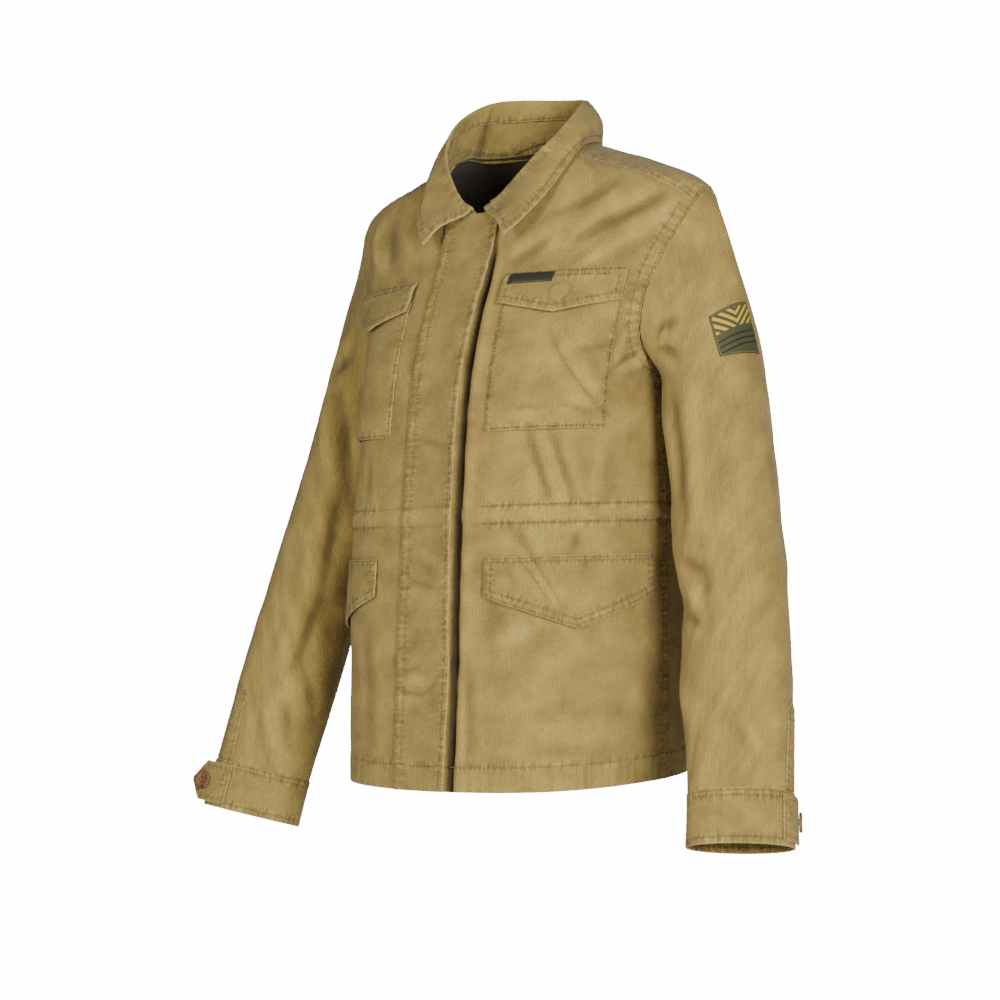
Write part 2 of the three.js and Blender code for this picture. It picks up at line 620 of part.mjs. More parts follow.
// The tab leaves the cuff in an arc from the slit's edge, towards the outer side and the back. The result
// is a place in the plane of the ring, with the direction that faces away from the cuff.
function tabAt(side, reach, down) {
  const flat = rad(SLIT_EDGE[nameOf(side)]);
  const here = onRing(side, flat, down);
  const ahead = onRing(side, flat - 0.02, down).sub(here).normalize();
  const { out, forward } = armFrame(down);
  const away = out.clone().cross(forward).cross(ahead).normalize();
  if (away.dot(here.clone().sub(armFrame(down).middle)) < 0) away.negate();
  const bend = rad(TAB_BEND[nameOf(side)]);
  const angle = (bend * reach) / TAB.reach;
  const radius = TAB.reach / bend;
  const p = here
    .addScaledVector(ahead, radius * Math.sin(angle))
    .addScaledVector(away, CUFF_OUT + TAB.off + TAB.thick - radius * (1 - Math.cos(angle)));
  return side === LEFT ? p : point(-p.x, p.y, p.z);
}

const TAB_MIDDLE = (CUFF_TOP + CUFF_END) / 2;

function cuffTab(side) {
  const surface = (s, t) => {
    const reach = mix(TAB.start, TAB.reach, s);
    const narrow = Math.max(0, (reach - TAB.reach + TAB.point) / TAB.point);
    const half = mix(TAB.height / 2, 2, narrow);
    return tabAt(side, reach, TAB_MIDDLE + half * (1 - 2 * t));
  };
  const bend = (TAB.reach - TAB.point - TAB.start) / (TAB.reach - TAB.start);
  const columns = [...steps(0, bend, 4), 1];
  sheet("cuff_tab_" + nameOf(side), "cloth", surface, columns, steps(0, 1, 2), { side, thick: TAB.thick });
}

function cuffButton(side) {
  const reach = TAB.reach - BUTTON.fromPoint;
  const surface = (u, v) => tabAt(side, u, v);
  const facing = outward(surface, reach, TAB_MIDDLE, 0.5, 0.5).multiplyScalar(-side);
  const disc = new THREE.Shape().absarc(0, 0, BUTTON.radius, 0, 2 * Math.PI);
  for (const quarter of [1, 3, 5, 7]) {
    const angle = (quarter * Math.PI) / 4;
    const far = BUTTON.spread * Math.SQRT2;
    const hole = new THREE.Path();
    hole.absarc(far * Math.cos(angle), far * Math.sin(angle), BUTTON.hole, 0, 2 * Math.PI, true);
    disc.holes.push(hole);
  }
  const options = { depth: BUTTON.thick, curveSegments: 14, bevelEnabled: false };
  const geometry = new THREE.ExtrudeGeometry(disc, options);
  geometry.translate(0, 0, BUTTON.off);
  const turn = new THREE.Quaternion().setFromUnitVectors(point(0, 0, 1), facing);
  const centre = surface(reach, TAB_MIDDLE);
  geometry.applyQuaternion(turn).translate(centre.x, centre.y, centre.z);
  const mesh = new THREE.Mesh(geometry, LOOKS.button);
  mesh.name = "cuff_button_" + nameOf(side);
  jacket.add(mesh);
}

// Collar. Its columns run from -1 at the wearer's right front end to 1 at the left one.

const NECK_FRONT_SHARE = 0.57; // of each half of the neck seam

function neckAt(u) {
  const at = Math.abs(u);
  const back = 1 - NECK_FRONT_SHARE;
  const end = (2 / Math.PI) * Math.acos(COLLAR_END / NECK_HALF);
  const place = at < back ? neckBack(1 - at / back) : neckFront(((at - back) / NECK_FRONT_SHARE) * end);
  const p = ringAt(...place);
  const shoulder = Math.exp(-(((at - back - 0.03) / 0.1) ** 2));
  p.z += mix(COLLAR_CLEAR.back, COLLAR_CLEAR.front, THREE.MathUtils.smoothstep(at, 0.7, 0.9));
  p.z += COLLAR_CLEAR.ridge * shoulder;
  return u < 0 ? point(-p.x, p.y, p.z) : p;
}

function collarPlace(u, which) {
  const part = (axis) => read(COLLAR, "at", which + axis, Math.abs(u));
  const p = point(Math.sign(u) * part("X"), part("Y"), part("Z"));
  p.z -= ROLL.lean * p.x * THREE.MathUtils.smoothstep(p.z, -20, 40);
  return p;
}

function standAt(u, t) {
  return neckAt(u).lerp(collarPlace(u, "roll"), STAND * t);
}

// Across the fall: up from the stand, over the roll and down to the outer edge.
function fallAt(u, t) {
  const roll = collarPlace(u, "roll");
  const edge = collarPlace(u, "edge");
  const low = standAt(u, 1);
  low.lerp(roll, 0.1);
  const off = edge.clone().sub(roll).setLength(1);
  const out = point(off.x, off.y, 0).setLength(ROLL.out);
  const over = roll.clone().add(out);
  over.z -= ROLL.down;
  const swell = point(out.x, out.y, 0).setLength(COLLAR_SWELL);
  swell.z += COLLAR_SWELL * 0.5;
  const middle = over.clone().lerp(edge, 0.5).add(swell);
  const curve = new THREE.CatmullRomCurve3([low, roll, over, middle, edge]);
  return curve.getPoint(THREE.MathUtils.clamp(t, 0, 1));
}

function collar() {
  const us = steps(-1, 1, 34);
  const stand = { thick: CLOTH };
  sheet("collar_stand", "cloth", standAt, us, steps(0, 1, 3), stand);
  const rows = [0, 0.13, 0.25, 0.37, 0.5, 0.66, 0.83, 1];
  sheet("collar_fall", "cloth", fallAt, us, rows, { out: FOLDED / 2, thick: FOLDED });
}

// The loop for a hook, at the back of the neck.
function hangerLoop() {
  const surface = (s, t) => {
    const q = 2 * s - 1;
    const p = neckAt(q * LOOP.half);
    const inward = point(p.x, p.y, 0).setLength(LOOP.inside + LOOP.bow * (1 - q * q));
    return p.sub(inward).add(point(0, 0, LOOP.low + LOOP.rise * (1 - q * q) + LOOP.high * t));
  };
  sheet("hanger_loop", "cloth", surface, steps(0, 1, 12), [0, 1], { thick: LOOP.thick });
}

// A label on the wearer's left chest flap, and a woven patch on the left sleeve, both left blank.
function chestLabel() {
  const inFlap = (across, z) => {
    const s = (across - CHEST_FLAP.across) / CHEST_FLAP.width;
    return [s, 1 - (CHEST_FLAP.top - z) / flapFall(CHEST_FLAP, s)];
  };
  const place = (s, t) => [LABEL.across + LABEL.width * s, LABEL.top - LABEL.height * (1 - t)];
  const out = (s, t) => flapOut(OVER_POCKET, ...inFlap(...place(s, t))) + LABEL_GAP + LABEL_THICK;
  const turned = (s, t) => [turnAt(place(s, t)[0] + CENTRE, place(s, t)[1]), place(s, t)[1]];
  const options = { out, thick: LABEL_THICK };
  onBodySheet("chest_label", "label", LEFT, turned, steps(0, 1, 6), steps(0, 1, 4), options);
}

function sleevePatch() {
  const { round, v, width, height, skew, lean, gap } = SLEEVE_PATCH;
  const r = rad(round);
  const perRound = sleeveAt(LEFT, r + 0.05, v).distanceTo(sleeveAt(LEFT, r - 0.05, v)) / 0.1;
  const perV = sleeveAt(LEFT, r, v + 0.05).distanceTo(sleeveAt(LEFT, r, v - 0.05)) / 0.1;
  const surface = (s, t) => {
    const across = (s - 0.5) * width - (t - 0.5) * lean;
    const down = (t - 0.5) * height + (s - 0.5) * skew;
    return sleeveAt(LEFT, r + across / perRound, v + down / perV);
  };
  const options = { out: LABEL_THICK + gap, thick: LABEL_THICK };
  sheet("sleeve_patch", "patch", surface, steps(0, 1, 5), steps(0, 1, 6), options);
}

// All pieces

backPanel();
yokePanel();
frontPanel(LEFT, LEFT_FRONT_EDGE);
frontPanel(RIGHT, RIGHT_FRONT_EDGE);
frontPlacket();
for (const side of [LEFT, RIGHT]) {
  chestPocket("chest_pocket_" + nameOf(side), side);
  flap("chest_flap_" + nameOf(side), side, CHEST_FLAP, OVER_POCKET);
  flap("lower_flap_" + nameOf(side), side, LOWER_FLAP, 0);
  sleeve(side);
  cuff(side);
  slitBinding(side);
  cuffTab(side);
  cuffButton(side);
}
collar();
hangerLoop();
chestLabel();
sleevePatch();

// The whole jacket hangs with the wearer's left shoulder a little higher.
for (const piece of jacket.children) {
  const places = piece.geometry.getAttribute("position");
  for (let i = 0; i < places.count; i++) {
    const share = THREE.MathUtils.smoothstep(places.getZ(i), TILT.from, TILT.to);
    places.setZ(i, places.getZ(i) + TILT.rise * places.getX(i) * share);
  }
  piece.geometry.computeVertexNormals();
}

export default jacket;
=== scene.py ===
import math

import bpy
import numpy as np
from mathutils import Matrix, Vector
from mathutils.kdtree import KDTree


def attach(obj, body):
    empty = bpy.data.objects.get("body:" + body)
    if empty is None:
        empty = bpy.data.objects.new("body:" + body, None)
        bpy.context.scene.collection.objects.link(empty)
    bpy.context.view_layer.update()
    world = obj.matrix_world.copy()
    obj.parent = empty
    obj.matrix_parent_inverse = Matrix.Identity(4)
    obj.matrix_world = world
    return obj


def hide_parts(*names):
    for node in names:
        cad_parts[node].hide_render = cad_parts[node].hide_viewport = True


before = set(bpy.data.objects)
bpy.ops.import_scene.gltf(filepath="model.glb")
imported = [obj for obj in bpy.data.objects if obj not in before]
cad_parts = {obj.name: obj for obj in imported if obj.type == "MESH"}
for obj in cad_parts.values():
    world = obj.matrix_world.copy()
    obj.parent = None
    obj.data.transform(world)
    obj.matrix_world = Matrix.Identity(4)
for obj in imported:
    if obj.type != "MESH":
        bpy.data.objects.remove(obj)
bpy.ops.object.select_all(action="DESELECT")
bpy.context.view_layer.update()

MM = 0.001
PI = math.pi
LEFT = 1
RIGHT = -1
FRONT = -PI / 2
SIDES = {LEFT: "left", RIGHT: "right"}

# Cloth and sewing
CLOTH = 1.6
FOLDED = 2.4
HEM_CLOTH = 2.4
SEAM_GAP = 0.3
LYING_GAP = 0.6

# Heights on the body
HEM = -629
HEM_STITCH = 24
HEM_BACK_RISE = 16
WAIST = -366
TUNNEL = 17
TUNNEL_RAISE = 1.4

# Sewing: how deep and wide the dent of a row of stitches is, how high the puckers are and how far they
# reach from the row. Each row of a piece has its own seed, this far from the last one's.
STITCH_DENT, DENT_WIDTH = 0.28, 1.0
WAIST_DENT, WAIST_DENT_WIDTH = 0.4, 1.2
PUCKER_GAIN, PUCKER_REACH, WAIST_PUCKER = 1.4, 5, 0.49
SEED_STEP = 17
# A row's stitches are left out where it comes nearer than these shares of its distance to the edges that
# it meets, or to its own edge round a corner
CLEAR_OF_OTHERS, CLEAR_OF_OWN = 0.98, 0.94

# Values in the seam's UV layers for places with no seam near and for a row that isn't there. The waist's
# distances are shifted, so that its rows aren't rubbed as an edge is.
FAR_OFF, NO_SEAM, NO_ROW, WAIST_SHIFT = 99.0, -9.0, -90, 20

# The rim of a wall is rolled over: how far in that reaches, and how much each face gives. It is drawn in
# from its neighbour by a small gap.
ROLL_WIDTH, ROLL_OUTER, ROLL_INNER, RIM_GAP = 0.75, 0.55, 0.3, 0.06


def table(names, *rows):
    return dict(zip(names.split(), np.array(rows, float).T))


BODY = table(
    "z side middle front back square",
    (-645, 165, -8, 165, 112, 0.04),
    (-540, 166, -8, 160, 110, 0.045),
    (-440, 166, -7, 156, 107, 0.05),
    (-366, 165, -6, 152, 104, 0.05),
    (-290, 162, -4, 147, 104, 0.045),
    (-222, 157, -2, 139, 108, 0.04),
    (-170, 178, 0, 124, 111, 0.02),
    (-120, 198, 2, 103, 105, 0.01),
    (-88, 209, 3, 95, 96, 0),
    (-62, 206, 4, 88, 87, 0),
    (-43, 186, 4, 80, 78, 0),
    (-28, 150, 4, 71, 68, 0),
    (-14, 110, 3, 61, 57, 0),
    (0, 70, 1, 50, 49, 0),
    (12, 54, 0, 43, 44, 0),
)

NECK_HALF = 68
NECK_DROP = 70
NECK_BACK_RISE = 5
ARM_TOP, ARM_BOTTOM = -60, -222
ARM_FRONT_TURN, ARM_BACK_TURN = 24, 27
YOKE_NECK = 0.1
YOKE_ARM_TURN = math.radians(36)
YOKE_BACK = -122

CENTRE = -9
LEFT_FRONT_EDGE = CENTRE - 22
RIGHT_FRONT_EDGE = -CENTRE + 26
PLACKET_INNER = CENTRE - 32
PLACKET_OUTER = CENTRE + 33
PLACKET_LIFT = 3.5
TILT = (0.045, -900, -60)

ARM = table(
    "down x y z wide deep",
    (0, 210, 6, -246, 48, 60),
    (30, 216, 2, -275, 50, 59),
    (110, 236, -13, -351, 50, 56),
    (207, 258, -33, -443, 51, 51),
    (310, 278, -55, -541, 51, 43),
    (400, 293, -75, -626, 49.5, 33),
    (450, 300, -86, -674, 50, 31),
)
CUFF_TOP = 400
CUFF_END = 450
TWIST = {LEFT: math.radians(-37), RIGHT: math.radians(37)}

# Soft unevenness of the cloth: height, wavelength and seed of each wave
BODY_SLACK = ((0.6, 95, 3), (0.22, 38, 4))
SLEEVE_SLACK = ((0.6, 80, 11), (0.2, 34, 12))

# Folds: turn round the body in degrees and height of both ends, then width, height, and how round its
# crest is (2 is round, 1 is sharp). On a sleeve it is the turn round the arm and the distance down it.
BODY_FOLDS = [
    (-66, -96, -30, -120, 26, 2.5, 2),
    (-116, -100, -148, -124, 26, 2.5, 2),
    (-58, -316, -50, -344, 22, 2, 2),
    (-80, -400, -82, -600, 24, -2.5, 2),
    (-18, -400, -16, -610, 30, 3, 2),
    (-160, -420, -164, -620, 30, 3, 2),
    (50, -300, 44, -600, 34, 5, 2),
    (92, -250, 88, -600, 36, -5, 2),
    (134, -300, 138, -600, 34, 5, 2),
    (48, -160, 56, -260, 28, 4, 2),
    (132, -160, 124, -260, 28, 4, 2),
]
FOLD_RADIUS = 150
SLEEVE_FOLDS = [
    (150, -60, 110, 60, 16, -4, 2),
    (200, 60, 130, 190, 18, 4, 2),
    (210, 150, 120, 250, 16, -4, 2),
    (250, 120, 330, 200, 20, 4, 2),
    (20, -110, 35, 20, 18, 3, 2),
    (180, 260, 100, 350, 16, 3.5, 2),
]
ROUND = 52

# The groove in which the left front falls back beside the placket's free edge, and the placket's free
# edge, which stands off more below the collar
GROOVE_DEEP, GROOVE_UNEVEN, GROOVE_WIDE, GROOVE_IN = 8.5, 1.5, 5.0, 0.5
GROOVE_TOP = (-75, -150)
PLACKET_STANDS_OFF = 4.5

# Pieces that lie on the body: distance round from the centre front, width, top, height
CHEST_POCKET = (59, 120, -153, 134)
CHEST_FLAP = (56, 120, -134, 31, 44)
LOWER_FLAP = (67, 182, -406, 37, 68)
LABEL = (62, 46, -137, 11)
# Each chest pocket is full in its middle, and its edges are pressed flat
POCKET_SWELL, POCKET_PRESS, POCKET_PRESS_WIDTH = 5, 0.95, 3.5
# A flap stands off towards its point, a chest flap more, over what the pocket holds
FLAP_SWELL, FLAP_FULL = 1.9, 0.9
# The snap under the left chest flap: its place on the flap, its raised round and the ring pressed by it
SNAP_PLACE, SNAP_RAISE, SNAP_INNER, SNAP_OUTER = (62, 20), 0.8, 7.4, 9.6
SNAP_RING, SNAP_RING_RADIUS, SNAP_RING_WIDTH = 0.3, 10.2, 1.2
LABEL_THICK = 0.8
LABEL_GAP = 0.7

COLLAR = table(
    "at rollX rollY rollZ edgeX edgeY edgeZ",
    (-0.25, -40, 31, 52, -48, 46, 3),
    (0, 0, 48, 53, 0, 66, 4),
    (0.25, 40, 31, 52, 48, 46, 3),
    (0.43, 58, 1, 45, 77, 1, 2),
    (0.5, 69, -34, 26, 84, -30, -5),
    (0.6, 66, -57, 2, 86, -53, -21),
    (0.7, 54, -71, -18, 81, -77, -48),
    (0.8, 40, -81, -36, 74, -94, -67),
    (0.9, 24, -88, -54, 62, -107, -84),
    (1, 7, -92, -65, 49, -117, -98),
)
STAND = 0.6
COLLAR_END = 6
ROLL_OUT, ROLL_DOWN, ROLL_LEAN = 6, 5, 0.11
COLLAR_SWELL = 5

SLIT_LENGTH, SLIT_WIDTH, SLIT_POINT = 84, 21, 9
SLIT_PRESS, SLIT_PRESS_WIDTH = 0.5, 2.5
SLIT_EDGE = {LEFT: math.radians(38), RIGHT: math.radians(50)}
TAB_BEND = {LEFT: math.radians(78), RIGHT: math.radians(26)}
TAB_START, TAB_REACH, TAB_POINT, TAB_HEIGHT, TAB_THICK, TAB_OFF = -5, 47, 17, 42, 2.4, 0.8
CUFF_OUT = 1
BUTTON_RADIUS, BUTTON_THICK, BUTTON_FROM_POINT, BUTTON_OFF = 9.5, 3, 20, 0.2
# Its rim and the slope inside it, as shares of the radius, and its dish, as a share of the thickness
BUTTON_RIM, BUTTON_SLOPE, BUTTON_DISH = 0.26, 0.1, 0.3
HOLE_OFF, HOLE_RADIUS, BUTTON_SOFT_EDGE = 1.8, 0.95, 0.55
# The thread through its holes: one long stitch over each pair, low at the holes and higher between them
BUTTON_THREAD_LOW, BUTTON_THREAD_HIGH, BUTTON_THREAD_BEND = 2.35, 2.7, 0.9
BUTTON_STITCH, BUTTON_STITCH_LENGTH, BUTTON_THREAD_RADIUS = 4, 4.6, 0.5

# The hanger loop: half its span as a share of the neck's edge, then how far in and up it hangs
LOOP_SPAN, LOOP_IN, LOOP_SWAY, LOOP_UP, LOOP_RISE, LOOP_WIDE, LOOP_THICK = 0.24, 2.6, 3, 0.5, 8, 6, 1.2

# Each grid of the body: about how long it is, and how far apart its lines are
FRONT_ACROSS, BACK_ACROSS, YOKE_HALF, COLLAR_HALF = (240, 3.2), (400, 3.4), (215, 2.6), (250, 2.6)
BELOW_ARMS, FRONT_ABOVE, BACK_ABOVE = (ARM_BOTTOM - HEM, 3.0), (175, 3.2), (100, 3.2)
YOKE_DOWN, PLACKET_ACROSS, PLACKET_DOWN = (140, 3.0), (65, 2.2), (558, 2.6)
STAND_DOWN, FALL_DOWN, SLEEVE_HEAD_DOWN = (34, 2.4), (105, 2.4), (120, 3.2)
ROUND_SLEEVE, ROUND_CUFF, ALONG_LOOP = 109, 131, 60

# Numbers and places


def point(x, y, z):
    return np.stack(np.broadcast_arrays(np.asarray(x, float), y, z), -1)


def mix(a, b, t):
    return a + (b - a) * t


def smooth(x, low, high):
    t = np.clip((x - low) / (high - low), 0, 1)
    return t * t * (3 - 2 * t)


def unit(v):
    return v / np.maximum(np.linalg.norm(v, axis=-1, keepdims=True), 1e-9)


def dot(a, b):
    return (a * b).sum(-1, keepdims=True)


def gone_along(line):
    """How far along a line each of its places is."""
    return np.concatenate([[0], np.cumsum(np.linalg.norm(np.diff(line, axis=0), axis=1))])


def read(rows, column, place):
    """One column of a table at places between its rows, by a smooth curve."""
    keys = rows[next(iter(rows))]
    values = rows[column]
    last = len(keys) - 1
    before = np.maximum(np.arange(last + 1) - 1, 0)
    after = np.minimum(np.arange(last + 1) + 1, last)
    slope = (values[after] - values[before]) / (keys[after] - keys[before])
    place = np.asarray(place, float)
    i = np.clip(np.searchsorted(keys, place) - 1, 0, last - 1)
    gap = keys[i + 1] - keys[i]
    t = (place - keys[i]) / gap
    inside = mix(values[i], values[i + 1], t * t * (3 - 2 * t))
    inside += t * (1 - t) ** 2 * gap * slope[i] - t * t * (1 - t) * gap * slope[i + 1]
    low = values[i] + slope[i] * (place - keys[i])
    high = values[i + 1] + slope[i + 1] * (place - keys[i + 1])
    return np.where(t < 0, low, np.where(t > 1, high, inside))


def folded(lines, across, down):
    """How far a set of folds moves the surface."""
    total = np.zeros(np.broadcast(across, down).shape)
    for x0, y0, x1, y1, width, height, crest in lines:
        dx, dy = x1 - x0, y1 - y0
        t = np.clip(((across - x0) * dx + (down - y0) * dy) / (dx * dx + dy * dy), 0, 1)
        off = np.hypot(across - x0 - t * dx, down - y0 - t * dy) / width
        total += height * (0.35 + 0.65 * np.sin(PI * t)) * np.exp(-(off**crest))
    return total


def uneven(p, wavelength, seed):
    """Soft random heights, about from -1 to 1, from waves in several directions."""
    draw = np.random.default_rng(seed)
    total = 0
    for _ in range(7):
        way = unit(draw.normal(size=3))
        length = wavelength * draw.uniform(0.65, 1.5)
        total = total + np.sin(p @ way * 2 * PI / length + draw.uniform(0, 2 * PI))
    return total / 3


def slack(p, waves):
    return sum(height * uneven(p, wavelength, seed) for height, wavelength, seed in waves)


def ripple(along, seed):
    """Uneven puckers along a seam."""
    draw = np.random.default_rng(seed)
    total = 0
    for wavelength in (6.5, 8.5, 12, 19):
        phase = draw.uniform(0, 2 * PI, 2)
        swing = 0.6 + 0.4 * np.sin(along * 2 * PI / (wavelength * 7.3) + phase[0])
        total = total + swing * np.sin(along * 2 * PI / wavelength + phase[1])
    return total / 2.2


# The body


def ring_at(turn, z):
    square = read(BODY, "square", z)
    c = (np.cos(turn) - square * np.cos(3 * turn)) / (1 - square)
    s = (np.sin(turn) + square * np.sin(3 * turn)) / (1 - square)
    depth = np.where(s < 0, read(BODY, "front", z), read(BODY, "back", z))
    return point(read(BODY, "side", z) * c, read(BODY, "middle", z) + depth * s, z)


def outward(surface, u, v, du, dv):
    across = surface(u + du, v) - surface(u - du, v)
    up = surface(u, v + dv) - surface(u, v - dv)
    return unit(np.cross(across, up))


def in_mm(folds, radius, strength=1):
    return [
        (math.radians(x0) * radius, y0, math.radians(x1) * radius, y1, width, height * strength, crest)
        for x0, y0, x1, y1, width, height, crest in folds
    ]


# Smaller folds of the body than its solids hold
FINE_FOLDS = [
    # from the collar and shoulder seam across the wearer's left chest
    (-39.5, -53, -81, -122, 13, 3.6, 2),
    (-43, -46, -66, -84, 10, -3, 2),
    (-26.5, -62, -56, -102, 9, -3.4, 1.8),
    (-23.5, -71, -48.5, -120, 12, 3.2, 2),
    (-52, -72, -76, -124, 7, -1.8, 2),
    (-48, -119, -55, -134, 5, 1.2, 1.6),
    # the other shoulder
    (-130, -56, -124, -112, 10, -3.2, 2),
    (-138, -64, -134, -108, 9, 3, 2),
    (-118, -74, -114, -122, 9, 2.4, 2),
    # under the arms, the same at both sides
    (-23.5, -196, -24, -226, 6, 1.6, 1.6),
    (-12, -224, -24, -230, 6, 2.4, 1.8),
    (-15, -214, -27, -234, 5, -1.8, 1.6),
    (-156, -198, -156, -226, 6, 1.6, 1.6),
    (-167, -222, -154, -230, 6, 2.2, 1.8),
    (-164, -214, -152, -236, 5, -1.8, 1.6),
    (20, -200, 32, -240, 8, 2.6, 1.8),
    (14, -212, 30, -256, 7, -2.2, 1.8),
    (160, -200, 148, -240, 8, 2.6, 1.8),
    (166, -212, 150, -256, 7, -2.2, 1.8),
    # the left chest pocket
    (-56, -192, -31.5, -272, 6, -1.4, 1.7),
    (-52, -190, -29, -262, 8, 1.1, 1.9),
    (-43, -213, -27.5, -208, 6, -1.5, 1.6),
    (-33, -266, -26, -276, 4, -1.3, 1.5),
    (-66, -266, -53.5, -266, 5, -1, 1.8),
    (-47.5, -264, -31.5, -275, 5, -1.1, 1.8),
    # between the pocket and the waist
    (-59.5, -286, -51, -356, 6, -1.7, 1.8),
    (-50.5, -290, -42, -354, 6, -1.7, 1.8),
    (-55, -296, -46, -350, 7, 1.2, 2),
    (-31, -300, -33, -350, 8, 1.4, 2),
    (-124, -300, -122, -352, 8, -1.5, 1.8),
    (-63.5, -380, -58, -402, 6, -1.3, 1.8),
    (-39.5, -383, -42.5, -402, 6, -1.3, 1.8),
    # the lower left flap
    (-60.5, -410, -49.5, -448, 4, -1.7, 1.5),
    (-58.5, -402, -45.5, -454, 4, -1.7, 1.5),
    (-59.5, -404, -47.5, -452, 4, 1, 1.8),
    (-66.5, -413, -62.5, -432, 4, -1, 1.6),
    # below it, down to the hem
    (-75.5, -422, -67, -486, 14, -2.8, 2),
    (-70, -492, -57, -468, 12, 2.2, 2),
    (-59, -566, -22, -570, 12, 1.6, 2),
    (-50, -588, -30, -590, 9, -1.1, 2),
    (-81, -484, -76.5, -600, 9, -2.2, 2),
    (-118, -480, -116, -600, 11, -1.8, 2),
    # the placket
    (-98, -515, -92.5, -507, 4, -1.2, 1.6),
    (-100.5, -533, -92, -538, 4, -1.5, 1.5),
    (-92, -538, -86.5, -520, 5, -1.3, 1.6),
    (-98, -523, -90, -524, 5, 1.3, 1.8),
    (-99, -290, -86.5, -300, 6, -1.1, 1.8),
    (-95.5, -398, -86.5, -413, 6, 1.3, 1.8),
    (-98.5, -426, -88, -437, 6, -1.3, 1.8),
    # the back
    (60, -136, 72, -240, 13, 3, 2),
    (120, -136, 108, -240, 13, 3, 2),
    (91, -132, 88, -200, 10, -2.2, 2),
    (70, -300, 74, -356, 8, -1.9, 1.8),
    (84, -296, 82, -356, 8, -1.7, 1.8),
    (100, -300, 98, -352, 8, -1.9, 1.8),
    (116, -300, 110, -354, 8, -1.7, 1.8),
    (66, -380, 60, -446, 9, -1.9, 1.8),
    (94, -380, 96, -452, 9, -1.9, 1.8),
    (122, -380, 128, -440, 9, -1.9, 1.8),
    (36, -420, 28, -580, 15, 3, 2),
    (146, -420, 152, -580, 15, 3, 2),
]
body_lines = in_mm(BODY_FOLDS, FOLD_RADIUS)
fine_lines = in_mm(FINE_FOLDS, FOLD_RADIUS, 1.35)


def body_at(turn, z):
    over = np.where(turn < -1.5 * PI + 0.2, turn + 2 * PI, turn)
    height = np.abs(z - WAIST) / (TUNNEL / 2)
    tunnel = TUNNEL_RAISE * np.maximum(0, 1 - height * height)
    base = ring_at(turn, z)
    fold = folded(body_lines + fine_lines, over * FOLD_RADIUS, z) + tunnel
    neck = smooth(np.hypot(base[..., 0], base[..., 1] * 0.75), NECK_HALF, NECK_HALF + 25)
    # The neck's edge and the shoulders stay even, where the collar and the yoke's seams lie
    fold = fold + slack(base, BODY_SLACK) * mix(1, neck, smooth(z, -130, -95))
    return base + outward(ring_at, turn, z, 0.01, 0.5) * fold[..., None]


def hem_at(turn):
    return HEM + HEM_BACK_RISE * (0.5 + 0.5 * np.sin(turn))


# The turn at distances round the body from the centre front, ready for every height
TURN_Z = np.arange(-672.0, 13.0, 4.0)
TURN_X = np.arange(-330.0, 331.0, 3.0)


def turn_table():
    turns = np.radians(np.arange(-150, 151, 2.0)) + FRONT
    rows = []
    for z in TURN_Z:
        gone = gone_along(ring_at(turns, z))
        gone -= np.interp(FRONT, turns, gone)
        rows.append(np.interp(TURN_X, gone, turns))
    return np.array(rows)


TURNS = turn_table()


def turn_at(across, z):
    x = np.clip((across - TURN_X[0]) / 3.0, 0, len(TURN_X) - 1.001)
    y = np.clip((z - TURN_Z[0]) / 4.0, 0, len(TURN_Z) - 1.001)
    i, j = x.astype(int), y.astype(int)
    fx, fy = x - i, y - j
    low = mix(TURNS[j, i], TURNS[j, i + 1], fx)
    high = mix(TURNS[j + 1, i], TURNS[j + 1, i + 1], fx)
    return mix(low, high, fy)


def turn_at_x(x, z, face):
    low = np.zeros(np.shape(x))
    high = np.full(np.shape(x), PI / 2)
    for _ in range(40):
        middle = (low + high) / 2
        wide = ring_at(middle, z)[..., 0] > np.abs(x)
        low = np.where(wide, middle, low)
        high = np.where(wide, high, middle)
    turn = face * low
    return np.where(x < 0, face * PI - turn, turn)


# Places on the body are pairs of turn and height


def neck_front(t):
    t = np.asarray(t, float)
    z = -NECK_DROP * np.sin(t * PI / 2)
    return turn_at_x(NECK_HALF * np.cos(t * PI / 2), z, -1), z


def neck_back(t):
    turn = np.asarray(t, float) * PI / 2
    return turn, NECK_BACK_RISE * np.sin(turn) ** 2


def armhole(angle):
    angle = np.asarray(angle, float)
    z = mix(ARM_BOTTOM, ARM_TOP, 0.5 + 0.5 * np.cos(angle))
    most = np.radians(np.where(angle > 0, ARM_FRONT_TURN, ARM_BACK_TURN))
    return -most * np.sin(angle), z


YOKE_BACK_ANGLE = math.acos(2 * (YOKE_BACK - ARM_BOTTOM) / (ARM_TOP - ARM_BOTTOM) - 1)


def blend_places(a, b, t):
    return mix(a[0], b[0], t), mix(a[1], b[1], t)


def yoke_seam(t):
    return blend_places(neck_front(YOKE_NECK), armhole(YOKE_ARM_TURN), t)


def patch(bottom, top, start, end):
    """A patch of places between four edges."""

    def place(s, t):
        ruled = blend_places(bottom(s), top(s), t)
        sides = blend_places(start(t), end(t), s)
        zero, one = np.zeros_like(s), np.ones_like(s)
        low = blend_places(bottom(zero), bottom(one), s)
        high = blend_places(top(zero), top(one), s)
        corners = blend_places(low, high, t)
        return ruled[0] + sides[0] - corners[0], ruled[1] + sides[1] - corners[1]

    return place


# Sleeves


def wrapped(angle):
    return np.mod(angle, 2 * PI)


def near_top(angle):
    return np.where(angle > PI, angle - 2 * PI, angle)


def twist(side, down):
    return TWIST[side] * smooth(down, 40, CUFF_TOP)


def arm_middle(down):
    return point(read(ARM, "x", down), read(ARM, "y", down), read(ARM, "z", down))


def arm_frame(down):
    along = unit(arm_middle(down + 2) - arm_middle(down - 2))
    out = unit(np.array([1.0, 0, 0]) - along * along[..., :1])
    return arm_middle(down), out, np.cross(along, out)


